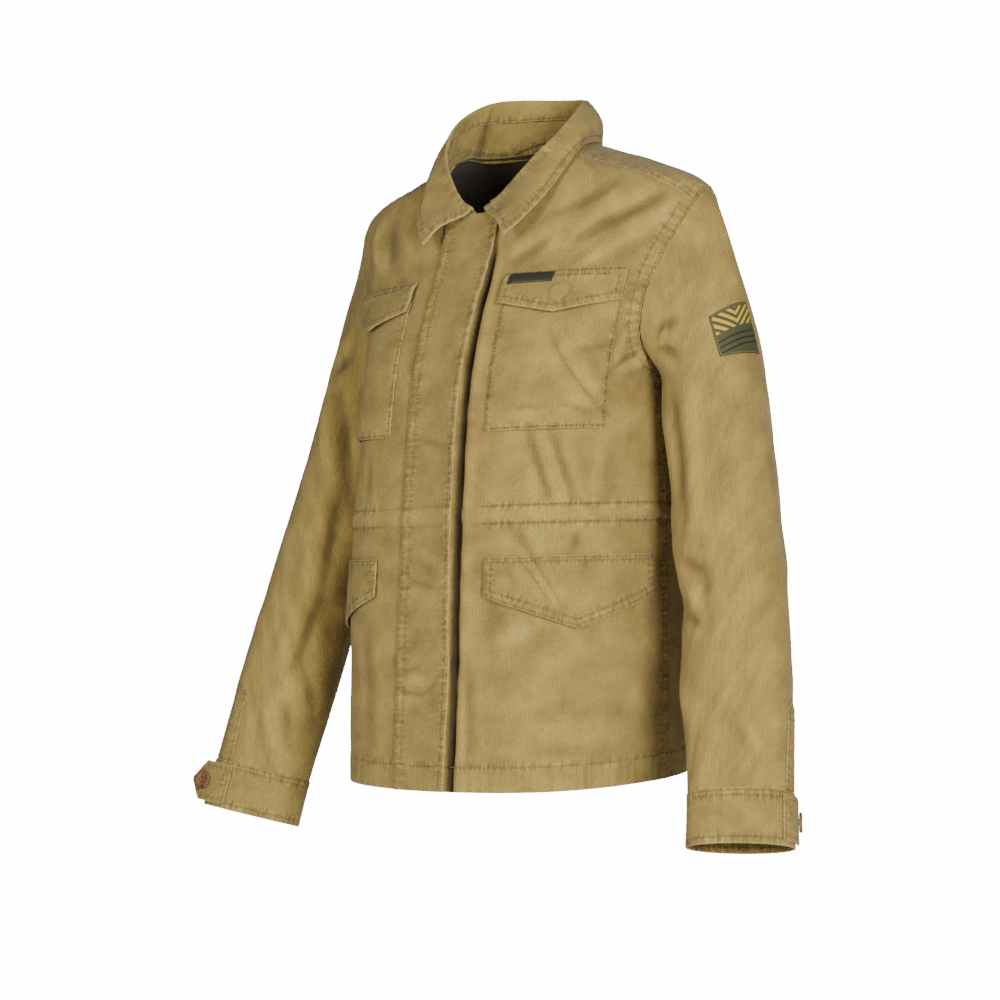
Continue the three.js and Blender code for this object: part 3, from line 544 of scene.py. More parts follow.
def on_ring(side, flat, down):
    middle, out, forward = arm_frame(down)
    turned = twist(side, down)
    far = read(ARM, "wide", down) * np.cos(flat)
    near = read(ARM, "deep", down) * np.sin(flat)
    x = far * np.cos(turned) - near * np.sin(turned)
    y = far * np.sin(turned) + near * np.cos(turned)
    return middle + out * x[..., None] + forward * y[..., None]


def arm_ring(side, angle, down):
    return on_ring(side, angle - twist(side, down), down)


HEAD = 100


def sleeve_head(side, angle, v):
    """The sleeve from the armhole to its first ring: it leaves the body away from the armhole's edge,
    more so at the top and downwards at the pit, and arrives along the arm."""
    place = armhole(near_top(angle))
    out = outward(ring_at, *place, 0.01, 0.5)

    def edge(a):
        return body_at(*armhole(near_top(wrapped(a))))

    away = unit(np.cross(out, edge(angle + 0.02) - edge(angle - 0.02)))
    top = 0.5 + 0.5 * np.cos(angle)[..., None]
    start = body_at(*place) + away * SEAM_GAP + out * SEAM_GAP * (1 - top)
    end = arm_ring(side, angle, np.zeros_like(angle))
    reach = np.linalg.norm(end - start, axis=-1, keepdims=True)
    leave = away * (0.15 + 0.75 * top) + out * (0.1 + 0.32 * (1 - top))
    leave = leave - np.array([0, 0, 0.75]) * (1 - top)
    leave = unit(leave) * reach * mix(0.9, 0.78, top)
    four = np.full_like(angle, 4.0)
    arrive = unit(arm_ring(side, angle, four) - arm_ring(side, angle, -four)) * reach
    v = v[..., None]
    p = mix(start, end, v * v * (3 - 2 * v))
    return p + leave * v * (1 - v) ** 2 - arrive * v * v * (1 - v)


def bare_sleeve(side, angle, v):
    angle, v = np.broadcast_arrays(np.asarray(angle, float), np.asarray(v, float))
    head = sleeve_head(side, wrapped(angle), np.clip(v, 0, 1))
    arm = arm_ring(side, angle, np.maximum(v - 1, 0) * HEAD)
    p = np.where(v[..., None] < 1, head, arm)
    return p if side == LEFT else p * np.array([-1, 1, 1])


sleeve_lines = in_mm(SLEEVE_FOLDS, ROUND)
ELBOW_FOLDS = [
    (250, 168, 292, 200, 9, 3, 2),
    (246, 214, 292, 236, 8, -3, 1.8),
    (250, 240, 286, 270, 9, 2.6, 2),
    (206, 150, 236, 190, 8, -2.4, 1.8),
    (228, -40, 262, 20, 9, 2.6, 2),
    (216, -30, 250, 40, 8, -2.4, 1.8),
    (330, 352, 350, 392, 7, -1.2, 1.8),
]
SLEEVE_FINE = {
    LEFT: ELBOW_FOLDS
    + [
        (39, -85, 84, -66, 12, -2.6, 2),
        (113, -62, 88, -45, 6, -3, 1.6),
        (120, -48, 90, -14, 7, -3.2, 1.6),
        (118, -56, 90, -30, 6, 3, 1.7),
        (92, -56, 113, -40, 5, 2, 1.8),
        (78, 0, 93, 150, 13, 4, 2),
        (105, 0, 112, 140, 12, -4, 2),
        (91, 168, 90, 262, 10, -2.6, 2),
        (123, 176, 92, 198, 7, -3, 1.7),
        (126, 200, 98, 222, 9, 3.6, 2),
        (126, 232, 100, 246, 7, -2.6, 1.7),
        (60, 30, 20, 110, 22, 2, 2),
        (63, 345, 30, 392, 8, -1.6, 1.8),
        (52, 340, 22, 385, 7, 1.2, 1.8),
    ],
    RIGHT: ELBOW_FOLDS
    + [
        (62, 0, 116, 96, 12, 4, 2),
        (92, 0, 138, 102, 10, -4.5, 2),
        (108, 100, 122, 210, 12, 3, 2),
        (125, 104, 138, 210, 9, -3.6, 1.8),
        (122, 215, 112, 290, 11, 3, 2),
        (138, 210, 131, 284, 8, -3.2, 1.8),
        (135, 276, 180, 340, 9, -3, 1.8),
        (101, 318, 121, 392, 7, -1.4, 1.8),
        (131, 322, 158, 383, 6, -1.4, 1.8),
        (69, -18, 91, -38, 6, -2.6, 1.6),
        (60, -30, 84, -52, 7, 2.4, 1.8),
    ],
}
sleeve_fine = {side: in_mm(rows, ROUND, 1.25) for side, rows in SLEEVE_FINE.items()}


def sleeve_at(side, angle, v):
    angle, v = np.broadcast_arrays(np.asarray(angle, float), np.asarray(v, float))

    def base(a, w):
        return bare_sleeve(side, a, w)

    p = base(angle, v)
    fade = smooth(v, 0.1, 0.6) * (1 - smooth(v, 4.3, 4.9))
    lines = sleeve_lines + sleeve_fine[side]
    fold = folded(lines, wrapped(angle) * ROUND, (v - 1) * HEAD) * fade
    fold = fold + slack(p, SLEEVE_SLACK) * fade
    normal = outward(base, angle, np.maximum(v, 0.02), 0.01, 0.01) * side
    return p + normal * fold[..., None]


def ring_v(down):
    return 1 + down / HEAD


def slit_edge(side, down):
    return SLIT_EDGE[side] + twist(side, CUFF_TOP) + (down - CUFF_TOP) * 0.0012


def tab_at(side, reach, down):
    reach, down = np.broadcast_arrays(np.asarray(reach, float), np.asarray(down, float))
    flat = SLIT_EDGE[side]
    here = on_ring(side, flat, down)
    ahead = unit(on_ring(side, flat - 0.02, down) - here)
    middle, out, forward = arm_frame(down)
    away = unit(np.cross(np.cross(out, forward), ahead))
    away = np.where(dot(away, here - middle) < 0, -away, away)
    bend = TAB_BEND[side]
    angle = (bend * reach / TAB_REACH)[..., None]
    radius = TAB_REACH / bend
    p = here + ahead * radius * np.sin(angle)
    p = p + away * (CUFF_OUT + TAB_OFF + TAB_THICK - radius * (1 - np.cos(angle)))
    return p if side == LEFT else p * np.array([-1, 1, 1])


# Collar


def neck_at(u):
    """The collar's seam, from the front edge at 1 to the middle of the back at 0, a little over the neck's
    edge, and more so at the shoulder and in front."""
    at = np.abs(u)
    share = 0.57
    back = 1 - share
    end = 2 / PI * math.acos(COLLAR_END / NECK_HALF)
    behind = neck_back(np.clip(1 - at / back, 0, 1))
    before = neck_front(np.clip((at - back) / share, 0, 1) * end)
    place = np.where(at < back, behind[0], before[0]), np.where(at < back, behind[1], before[1])
    p = ring_at(*place)
    p[..., 2] += mix(0.7, 2.2, smooth(at, 0.7, 0.9)) + 1.4 * np.exp(-(((at - back - 0.03) / 0.1) ** 2))
    p[..., 0] *= np.where(u < 0, -1, 1)
    return p


def collar_place(u, which):
    x, y, z = (read(COLLAR, which + axis, np.abs(u)) for axis in "XYZ")
    x = np.sign(u) * x
    return point(x, y, z - ROLL_LEAN * x * smooth(z, -20, 40))


def stand_at(u, t):
    return mix(neck_at(u), collar_place(u, "roll"), STAND * np.asarray(t)[..., None])


def stand_out(u, t):
    """The stand goes down inside the neck edge, so that no light comes through between them."""
    return -1.7 * (1 - smooth(t, 0, 0.1))


def spline(points, t):
    """A smooth curve through five points at each place, its speed by the root of their distances."""
    p = np.stack([2 * points[0] - points[1], *points, 2 * points[-1] - points[-2]], -2)
    place = np.clip(t, 0, 1) * (len(points) - 1)
    i = np.minimum(place.astype(int), len(points) - 2)
    w = (place - i)[..., None]
    p0, p1, p2, p3 = (np.take_along_axis(p, (i + k)[..., None, None], -2)[..., 0, :] for k in range(4))
    d0, d1, d2 = (
        np.maximum(np.sqrt(np.linalg.norm(b - a, axis=-1, keepdims=True)), 1e-4)
        for a, b in ((p0, p1), (p1, p2), (p2, p3))
    )
    m1 = d1 * ((p1 - p0) / d0 - (p2 - p0) / (d0 + d1) + (p2 - p1) / d1)
    m2 = d1 * ((p2 - p1) / d1 - (p3 - p1) / (d1 + d2) + (p3 - p2) / d2)
    c2 = -3 * p1 + 3 * p2 - 2 * m1 - m2
    c3 = 2 * p1 - 2 * p2 + m1 + m2
    return p1 + m1 * w + c2 * w**2 + c3 * w**3


def fall_at(u, t):
    u, t = np.broadcast_arrays(np.asarray(u, float), np.asarray(t, float))
    roll = collar_place(u, "roll")
    edge = collar_place(u, "edge")
    low = mix(stand_at(u, np.ones_like(u)), roll, 0.02)
    off = unit(edge - roll)
    flat = unit(off * np.array([1, 1, 0]))
    over = roll + flat * ROLL_OUT - np.array([0, 0, ROLL_DOWN])
    swell = flat * COLLAR_SWELL + np.array([0, 0, COLLAR_SWELL * 0.5])
    middle = mix(over, edge, 0.5) + swell
    return spline([low, roll, over, middle, edge], t)


# Making cloth meshes

THREADS = {}
CLOTHS = {}


def graded(length, step, start=True, end=True):
    """Places from 0 to 1 over a length, closer together at its ends."""
    near = np.array([0, 0.5, 1.2, 2.1, 3.2, 4.6, 6.4, 8.6, 11.2]) / length
    near = near[near < 0.4]
    low = near if start else np.array([0.0])
    high = 1 - (near[::-1] if end else np.array([0.0]))
    count = max(2, int((high[0] - low[-1]) * length / step))
    return np.concatenate([low, np.linspace(low[-1], high[0], count + 1)[1:-1], high])


def with_places(places, *wanted):
    """Places of which the nearest ones move to where the outline has its corners."""
    for place in wanted:
        places[np.abs(places - place).argmin()] = place
    return places


def tilt(p):
    """The jacket hangs a little askew: its lower part is higher at the wearer's left."""
    rise, low, high = TILT
    q = p.copy()
    q[..., 2] += rise * p[..., 0] * smooth(p[..., 2], low, high)
    return q


def new_mesh(name, vertices, faces, uvs=None):
    mesh = bpy.data.meshes.new(name)
    mesh.from_pydata((tilt(vertices) * MM).tolist(), [], faces)
    mesh.polygons.foreach_set("use_smooth", np.ones(len(mesh.polygons), bool))
    for layer, values in (uvs or {}).items():
        data = mesh.uv_layers.new(name=layer).data
        data.foreach_set("uv", values.astype(np.float32).ravel())
    mesh.update()
    body = bpy.data.objects.new(name, mesh)
    bpy.context.scene.collection.objects.link(body)
    return body


def tree_of(points):
    tree = KDTree(len(points))
    for k, place in enumerate(points.tolist()):
        tree.insert(place, k)
    tree.balance()
    return tree


def spread_out(line, step):
    """A line's own distances, and those of places spaced evenly along it."""
    gone = gone_along(line)
    return gone, np.arange(0, gone[-1], step)


def along_line(gone, even, values):
    """A line's values at other distances along it."""
    return np.stack([np.interp(even, gone, values[:, c]) for c in range(3)], -1)


EDGES = {
    # The places on each edge, those next to them inside, and the edges that it meets
    "start": (np.s_[:, 0], np.s_[:, 2], ("low", "high")),
    "end": (np.s_[:, -1], np.s_[:, -3], ("low", "high")),
    "low": (np.s_[0], np.s_[2], ("start", "end")),
    "high": (np.s_[-1], np.s_[-3], ("start", "end")),
}


class Cloth:
    """A closed wall on a surface, with the effects of its sewing, and the lines to sew along."""

    def __init__(self, node, surface, us, vs, out=0, thick=CLOTH, side=LEFT, closed=False, facing=None):
        self.node, self.side, self.closed, self.thick = node, side, closed, thick
        self.u, self.v = np.meshgrid(us, vs)
        self.p = surface(self.u, self.v)
        if facing is None:
            self.n = outward(surface, self.u, self.v, 1e-3, 1e-3) * side
        else:
            self.n = facing(self.u, self.v)
        self.off = np.zeros(self.u.shape) + (out(self.u, self.v) if callable(out) else out)
        rows = np.linalg.norm(np.diff(self.p, axis=1), axis=-1)
        columns = np.linalg.norm(np.diff(self.p, axis=0), axis=-1)
        self.x = np.pad(np.cumsum(rows, 1), ((0, 0), (1, 0)))
        self.y = np.pad(np.cumsum(columns, 0), ((1, 0), (0, 0)))
        sides = ("low", "high") if closed else ("start", "end", "low", "high")
        self.edges = {name: self.edge(name) for name in sides}
        self.rim = np.minimum.reduce([edge["far"] for edge in self.edges.values()])
        self.lines, self.seams = [], []
        CLOTHS[node] = self

    def edge(self, name, part=None):
        """An edge of the cloth, or a part of it, and how far each place is from it and along it."""
        border, beside, meets = EDGES[name]
        line, normal, inside = self.p[border], self.n[border], self.p[beside]
        if part is not None:
            line, normal, inside = (values[part[border]] for values in (line, normal, inside))
        way = np.cross(normal, unit(np.gradient(line, axis=0)))
        way = unit(way) * np.sign(dot(way, inside - line).sum())
        gone, even = spread_out(line, 0.5)
        points = along_line(gone, even, line)
        tree = tree_of(points)
        found = [tree.find(place)[1:] for place in self.p.reshape(-1, 3).tolist()]
        nearest, far = (np.array(values).reshape(self.u.shape) for values in zip(*found))
        return {
            "points": points,
            "way": unit(along_line(gone, even, way)),
            "tree": tree,
            "far": far,
            "along": even[nearest.astype(int)],
            "meets": meets,
        }

    def sew(self, edge, rows, pucker, band, part=None, seed=0):
        """Rows of stitches at distances from an edge, with the band they hold and its puckers."""
        edge = self.edges[edge] if part is None else self.edge(edge, part)
        far, last = edge["far"], max(rows, default=0)
        inside = 1 - smooth(far, last - 0.5, last + 2)
        spread = np.where(far < last, 1, np.exp(-(((far - last) / PUCKER_REACH) ** 2)))
        wave = PUCKER_GAIN * ripple(edge["along"], seed + SEED_STEP * len(self.lines))
        self.off = self.off + band * inside + pucker * spread * wave
        for row in rows:
            self.off = self.off - STITCH_DENT * np.exp(-(((far - row) / DENT_WIDTH) ** 2))
            self.lines.append(self.row_beside(edge, row))
        self.seams.append((far, edge["along"], rows, np.ones(far.shape), 0))

    def row_beside(self, edge, row):
        """The places at a distance from an edge, and which of them are clear of the edges that it meets."""
        places = edge["points"] + edge["way"] * row
        others = [self.edges[name]["tree"] for name in edge["meets"] if name in self.edges]
        kept = []
        for place in places.tolist():
            clear = all(tree.find(place)[2] > CLEAR_OF_OTHERS * row for tree in others)
            kept.append(clear and edge["tree"].find(place)[2] > CLEAR_OF_OWN * row)
        return places, np.array(kept)

    def seams_at(self, spots):
        """The nearest sewn edge of each face: how far along it and away from it, and its two rows."""
        along, near = np.zeros(spots.shape), np.full(spots.shape, FAR_OFF)
        rows = np.full(spots.shape + (2,), NO_SEAM)
        best = np.full(len(spots), FAR_OFF)
        for far, run, lines, mask, shift in self.seams:
            here = far.ravel()[spots]
            middle = np.abs(here).mean(1)
            reached = middle < max(lines, default=0) + 8
            closer = reached & (middle < best) & (mask.ravel()[spots].mean(1) > 0.5)
            best = np.where(closer, middle, best)
            near[closer] = here[closer] + shift
            along[closer] = run.ravel()[spots][closer]
            rows[closer] = ([row + shift for row in lines] + [NO_ROW, NO_ROW])[:2]
        return along, near, rows

    def ridges(self):
        """How far each place stands over the cloth around it, in millimetres."""
        places = self.p + self.n * self.off[..., None]
        flat = places.copy()
        for _ in range(5):
            for axis in (0, 1):
                first, last = np.take(flat, [0], axis), np.take(flat, [-1], axis)
                wide = np.concatenate([first, flat, last], axis)
                low = np.take(wide, range(0, flat.shape[axis]), axis)
                high = np.take(wide, range(2, flat.shape[axis] + 2), axis)
                flat = 0.5 * flat + 0.25 * (low + high)
        return ((places - flat) * self.n).sum(-1)

    def finish(self, grain_v=None, look="twill", inside=None):
        """Makes the wall's mesh: its outer face, its inner face and its rim, with the UV layers."""
        roll = np.exp(-((self.rim / ROLL_WIDTH) ** 2))
        thick = self.thick(self.u, self.v) if callable(self.thick) else self.thick
        outer = self.drawn_in(self.p + self.n * (self.off - ROLL_OUTER * roll)[..., None])
        inner = self.drawn_in(self.p + self.n * (self.off - thick + ROLL_INNER * roll)[..., None])
        high, wide = self.u.shape
        kept = wide - 1 if self.closed else wide
        vertices = np.concatenate([outer[:, :kept].reshape(-1, 3), inner[:, :kept].reshape(-1, 3)])
        base = high * kept
        # A face's corners are vertices, and also spots of the grid, which a closed cloth's last column
        # has twice
        spot = np.arange(high * wide).reshape(high, wide)
        vertex = np.arange(base).reshape(high, kept)[:, np.arange(wide) % kept]

        def corners(grid):
            return np.stack([grid[:-1, :-1], grid[:-1, 1:], grid[1:, 1:], grid[1:, :-1]], -1).reshape(-1, 4)

        quads, places = corners(vertex), corners(spot)
        faces = [quads, quads[:, ::-1] + base]
        spots = [places, places[:, ::-1]]

        def rim(border, first, second):
            a, b, mark_a, mark_b = (line[border][cut] for line in (vertex, spot) for cut in (first, second))
            faces.append(np.stack([b, a, a + base, b + base], -1))
            spots.append(np.stack([mark_b, mark_a, mark_a, mark_b], -1))

        but_last, but_first = np.s_[:-1], np.s_[1:]
        rim(np.s_[0], but_last, but_first)
        rim(np.s_[-1], but_first, but_last)
        if not self.closed:
            rim(np.s_[:, 0], but_first, but_last)
            rim(np.s_[:, -1], but_last, but_first)
        faces, spots = np.concatenate(faces), np.concatenate(spots)
        if self.side == RIGHT:
            faces, spots = faces[:, ::-1], spots[:, ::-1]
        cloth_u = self.x - self.x[:, wide // 2 : wide // 2 + 1]
        cloth_v = self.y if grain_v is None else grain_v
        flat = spots.ravel()
        along, near, rows = self.seams_at(spots)
        ridge = self.ridges()
        uvs = {
            "cloth": np.stack([cloth_u.ravel()[flat], cloth_v.ravel()[flat]], -1),
            "seam": np.stack([along.ravel(), near.ravel()], -1),
            "rows": rows.reshape(-1, 2),
            "ridge": np.stack([ridge.ravel()[flat], np.zeros(len(flat))], -1),
        }
        self.object = new_mesh(self.node + "_cloth", vertices, faces.tolist(), uvs)
        self.object.data.materials.append(MATERIALS[look])
        # The inner faces take the second material, a darker copy of the twill that paints their shade
        if inside:
            self.object.data.materials.append(MATERIALS[inside])
            within = np.zeros(len(faces), np.int32)
            within[len(quads) : 2 * len(quads)] = 1
            self.object.data.polygons.foreach_set("material_index", within)
        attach(self.object, "root")
        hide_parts(self.node)
        self.thread(outer)

    def drawn_in(self, grid):
        """The grid with its outermost places moved in, towards the next ones."""
        grid = grid.copy()
        if not self.closed:
            grid[:, 0] += unit(grid[:, 1] - grid[:, 0]) * RIM_GAP
            grid[:, -1] += unit(grid[:, -2] - grid[:, -1]) * RIM_GAP
        grid[0] += unit(grid[1] - grid[0]) * RIM_GAP
        grid[-1] += unit(grid[-2] - grid[-1]) * RIM_GAP
        return grid

    def thread(self, outer):
        """Stitches along the sewn lines, laid on the outer face."""
        outer, normals = outer.reshape(-1, 3), self.n.reshape(-1, 3)
        tree = tree_of(outer)
        for places, kept in self.lines:
            near = [tree.find_n(place, 4) for place in places.tolist()]
            spots = np.array([[hit[1] for hit in hits] for hits in near])
            weight = 1 / (np.array([[hit[2] for hit in hits] for hits in near]) + 0.3) ** 2
            weight = (weight / weight.sum(1, keepdims=True))[..., None]
            facing = normals[spots]
            laid = places[:, None] + facing * dot(outer[spots] - places[:, None], facing)
            laid, facing = (laid * weight).sum(1), unit((facing * weight).sum(1))
            runs = np.split(np.arange(len(kept)), np.flatnonzero(np.diff(kept.astype(int))) + 1)
            for run in runs:
                if len(run) > 1 and kept[run[0]]:
                    stitch_line(self.node, laid[run], facing[run])


STITCH = 3.0
STITCH_LENGTH = 2.3
THREAD_RADIUS = 0.4


def stitch_line(node, points, normals, pitch=STITCH, length=STITCH_LENGTH, radius=THREAD_RADIUS):
    """Stitches of thread that lie in a row on the cloth, their ends in it."""
    gone = gone_along(points)
    count = int(gone[-1] / pitch)
    if count < 1:
        return
    centres = (np.arange(count) + 0.5) * gone[-1] / count
    at, ahead, behind = (along_line(gone, centres + off, points) for off in (0, 0.5, -0.5))
    normal = unit(along_line(gone, centres, normals))
    forward = unit(ahead - behind)
    across = np.cross(normal, forward)
    # Each stitch slants a little out of its row, and is a spindle with four sides and its ends sunk
    forward = unit(forward + across * 0.12)
    across = np.cross(normal, forward)
    shape = [(-0.5, 0, -0.5), (0.5, 0, -0.5)]
    for along in (-0.3, 0.3):
        shape += [(along, 1, 0.1), (along, 0, 0.95), (along, -1, 0.1), (along, 0, -0.9)]
    shape = np.array(shape)
    vertices = (
        at[:, None]
        + forward[:, None] * shape[None, :, :1] * length
        + across[:, None] * shape[None, :, 1:2] * radius
        + normal[:, None] * shape[None, :, 2:] * radius
    )
    faces = []
    for k in range(4):
        a, b = 2 + k, 2 + (k + 1) % 4
        faces += [(0, a, b, 0), (a, a + 4, b + 4, b), (1, b + 4, a + 4, 1)]
    THREADS.setdefault(node, []).append((vertices.reshape(-1, 3), np.array(faces), len(shape), count))


def finish_threads(node):
    """One mesh of all the stitches in a piece."""
    vertices, triangles, quads, start = [], [], [], 0
    for points, faces, size, count in THREADS.get(node, []):
        for k in range(count):
            shifted = faces + start + k * size
            for face in shifted.tolist():
                if face[0] == face[3]:
                    triangles.append(face[:3])
                else:
                    quads.append(face)
        vertices.append(points)
        start += len(points)
    if not vertices:
        return None
    body = new_mesh(node + "_stitches", np.concatenate(vertices), triangles + quads)
    body.data.materials.append(MATERIALS["thread"])
    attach(body, "root")
    return body


# Materials


def linear(hexa):
    """An sRGB colour such as A58C58 as linear values."""
    srgb = [int(hexa[i : i + 2], 16) / 255 for i in (0, 2, 4)]
    return [c / 12.92 if c < 0.04045 else ((c + 0.055) / 1.055) ** 2.4 for c in srgb] + [1]


def add(tree, kind, links=None, **settings):
    """A node with its settings and what comes into it."""
    node = tree.nodes.new(kind)
    for name, value in settings.items():
        setattr(node, name, value)
    for socket, source in (links or {}).items():
        if isinstance(source, bpy.types.NodeSocket):
            tree.links.new(source, node.inputs[socket])
        else:
            node.inputs[socket].default_value = source
    return node


def material(name):
    made = bpy.data.materials.new(name)
    made.use_nodes = True
    made.node_tree.nodes.clear()
    return made, made.node_tree


HERRINGBONE = 3.7  # width of one column of the weave
LABEL_THREAD = 0.8  # between the threads of the label and the patch
TWILL_PITCH = 1.3  # between the slanting ribs, drawn coarser than the real 0.6 mm so that they show


def scaled(tree, colour, source, low, high, dark, bright):
    """A colour made darker or brighter by a value between two limits."""
    tone = add(tree, "ShaderNodeMapRange", {0: source, 1: low, 2: high, 3: dark, 4: bright}).outputs[0]
    return add(tree, "ShaderNodeVectorMath", {0: colour, 3: tone}, operation="SCALE").outputs[0]


def split_uv(tree, name):
    """A UV layer, and its two values."""
    uv = add(tree, "ShaderNodeUVMap", uv_map=name).outputs[0]
    apart = add(tree, "ShaderNodeSeparateXYZ", {0: uv})
    return uv, apart.outputs[0], apart.outputs[1]


def uneven_cloth(tree, uv, across, along, detail=2.0, roughness=0.6):
    """Noise that is finer across the cloth or along it, in waves a millimetre."""
    spread = add(tree, "ShaderNodeMapping", {0: uv, 3: (across, along, 1)}).outputs[0]
    return add(tree, "ShaderNodeTexNoise", {0: spread, 2: 1.0, 3: detail, 4: roughness}).outputs[0]


def cotton_twill(name, dark, pale, rubbed_colour):
    """Garment-washed cotton herringbone twill: matt, with fine upright columns of slanting ribs, paler
    where seams and edges stand up and have been rubbed. Its colour also holds painted light: painted shade
    in hollows, deep folds, stitch grooves and the troughs of the puckers beside the stitches, and painted
    highlight on crests and raised puckers."""
    made, tree = material(name)
    cloth, x, y = split_uv(tree, "cloth")
    seam, _, near = split_uv(tree, "seam")
    _, first, second = split_uv(tree, "rows")
    _, ridge, _ = split_uv(tree, "ridge")
    # The slant turns round at every column
    zigzag = add(tree, "ShaderNodeMath", {0: x, 1: HERRINGBONE}, operation="PINGPONG").outputs[0]
    ribs = add(tree, "ShaderNodeMath", {0: y, 1: zigzag}, operation="ADD").outputs[0]
    ribs = add(tree, "ShaderNodeMath", {0: ribs, 1: 2 * PI / TWILL_PITCH}, operation="MULTIPLY").outputs[0]
    ribs = add(tree, "ShaderNodeMath", {0: ribs}, operation="SINE").outputs[0]
    half = add(tree, "ShaderNodeMath", {0: zigzag, 1: HERRINGBONE / 2}, operation="SUBTRACT").outputs[0]
    half = add(tree, "ShaderNodeMath", {0: half}, operation="ABSOLUTE").outputs[0]
    column = {0: half, 1: HERRINGBONE * 0.28, 2: HERRINGBONE / 2, 3: 0.0, 4: 1.0}
    column = add(tree, "ShaderNodeMapRange", column).outputs[0]
    # Uneven threads up and across the cloth, the uneven dye, and the fuzz of the wash
    streaks = uneven_cloth(tree, cloth, 0.9, 0.06)
    crossing = uneven_cloth(tree, cloth, 0.1, 0.8)
    mottle = uneven_cloth(tree, cloth, 0.03, 0.03, 4.0)
    fuzz = uneven_cloth(tree, cloth, 0.55, 0.4, 3.0, 0.75)
    base = add(tree, "ShaderNodeValToRGB", {0: mottle})
    ends = base.color_ramp.elements
    ends[0].position, ends[1].position = 0.3, 0.72
    ends[0].color, ends[1].color = linear(dark), linear(pale)
    colour = base.outputs[0]
    # What makes it darker or brighter: a value between two limits, and the tones that those give. The two
    # ridge entries are painted light: the first paints shade in hollows and a highlight on crests, the
    # crests' paleness partly also the wear of the wash; the last paints the deepest folds near black, as
    # painted shade where hardly any light reaches.
    for value, low, high, dark_tone, bright_tone in (
        (streaks, 0.3, 0.7, 0.94, 1.06),
        (crossing, 0.3, 0.7, 0.96, 1.04),
        (column, 0.0, 1.0, 1.02, 0.92),
        (ribs, -1.0, 1.0, 0.92, 1.06),
        (fuzz, 0.3, 0.7, 0.78, 1.22),
        (ridge, -0.45, 0.45, 0.7, 1.2),
        (ridge, -2.2, -0.5, 0.3, 1.0),
    ):
        colour = scaled(tree, colour, value, low, high, dark_tone, bright_tone)
    # How far the nearest row of stitches is, and the puckers that it holds
    to_rows = []
    for row in (first, second):
        away = add(tree, "ShaderNodeMath", {0: near, 1: row}, operation="SUBTRACT").outputs[0]
        to_rows.append(add(tree, "ShaderNodeMath", {0: away}, operation="ABSOLUTE").outputs[0])
    to_row = add(tree, "ShaderNodeMath", dict(enumerate(to_rows)), operation="MINIMUM").outputs[0]
    held = add(tree, "ShaderNodeMapRange", {0: to_row, 1: 2.5, 2: 7.0, 3: 1.0, 4: 0.0}).outputs[0]
    pucker = uneven_cloth(tree, seam, 0.3, 0.09, 2.0, 0.65)
    pucker = add(tree, "ShaderNodeMapRange", {0: pucker, 1: 0.4, 2: 0.6, 3: -0.5, 4: 0.5}).outputs[0]
    pucker = add(tree, "ShaderNodeMath", {0: pucker, 1: held}, operation="MULTIPLY").outputs[0]
    # Painted shade and highlight: the puckers are drawn darker in their troughs and paler on their crests
    colour = scaled(tree, colour, pucker, -0.5, 0.5, 0.79, 1.18)
    # Painted shade in the grooves that the rows of stitches press in, broken where the puckers rise
    groove = add(tree, "ShaderNodeMapRange", {0: to_row, 1: 0.3, 2: 1.2, 3: 1.0, 4: 0.0}).outputs[0]
    broken = add(tree, "ShaderNodeMapRange", {0: pucker, 1: -0.4, 2: 0.4, 3: 1.0, 4: 0.6}).outputs[0]
    groove = add(tree, "ShaderNodeMath", {0: groove, 1: broken}, operation="MULTIPLY").outputs[0]
    colour = scaled(tree, colour, groove, 0.0, 1.0, 1.0, 0.62)
    # Edges are rubbed pale, most where a pucker stands up, and in patches
    edge = add(tree, "ShaderNodeMapRange", {0: near, 1: 0.25, 2: 1.5, 3: 0.75, 4: 0.0}).outputs[0]
    worn = add(tree, "ShaderNodeMapRange", {0: pucker, 1: -0.35, 2: 0.3, 3: 0.35, 4: 1.0}).outputs[0]
    worn = add(tree, "ShaderNodeMath", {0: edge, 1: worn}, operation="MULTIPLY").outputs[0]
    patchy = uneven_cloth(tree, seam, 0.07, 0.05, 3.0)
    patchy = add(tree, "ShaderNodeMapRange", {0: patchy, 1: 0.38, 2: 0.62, 3: 0.35, 4: 1.0}).outputs[0]
    worn = add(tree, "ShaderNodeMath", {0: worn, 1: patchy}, operation="MULTIPLY").outputs[0]
    worn = add(tree, "ShaderNodeMix", {0: worn, 6: colour, 7: linear(rubbed_colour)}, data_type="RGBA")
    colour = worn.outputs[2]
    # Height of ribs, columns, fuzz, puckers and grooves, in metres
    relief = add(tree, "ShaderNodeMath", {0: ribs, 1: 0.00006}, operation="MULTIPLY").outputs[0]
    for value, height in ((column, -0.0001), (fuzz, 0.0009), (pucker, 0.0009), (groove, -0.0003)):
        sum_of = {0: value, 1: height, 2: relief}
        relief = add(tree, "ShaderNodeMath", sum_of, operation="MULTIPLY_ADD").outputs[0]
    bump = add(tree, "ShaderNodeBump", {"Height": relief, "Strength": 0.9, "Distance": 1.0}).outputs[0]
    rough = add(tree, "ShaderNodeMapRange", {0: fuzz, 1: 0.2, 2: 0.8, 3: 0.82, 4: 0.96}).outputs[0]
    finish = {"Base Color": colour, "Roughness": rough, "Normal": bump}
    finish |= {"Sheen Weight": 0.08, "Sheen Roughness": 0.5}
    shader = add(tree, "ShaderNodeBsdfPrincipled", finish)
    add(tree, "ShaderNodeOutputMaterial", {0: shader.outputs[0]})
    return made


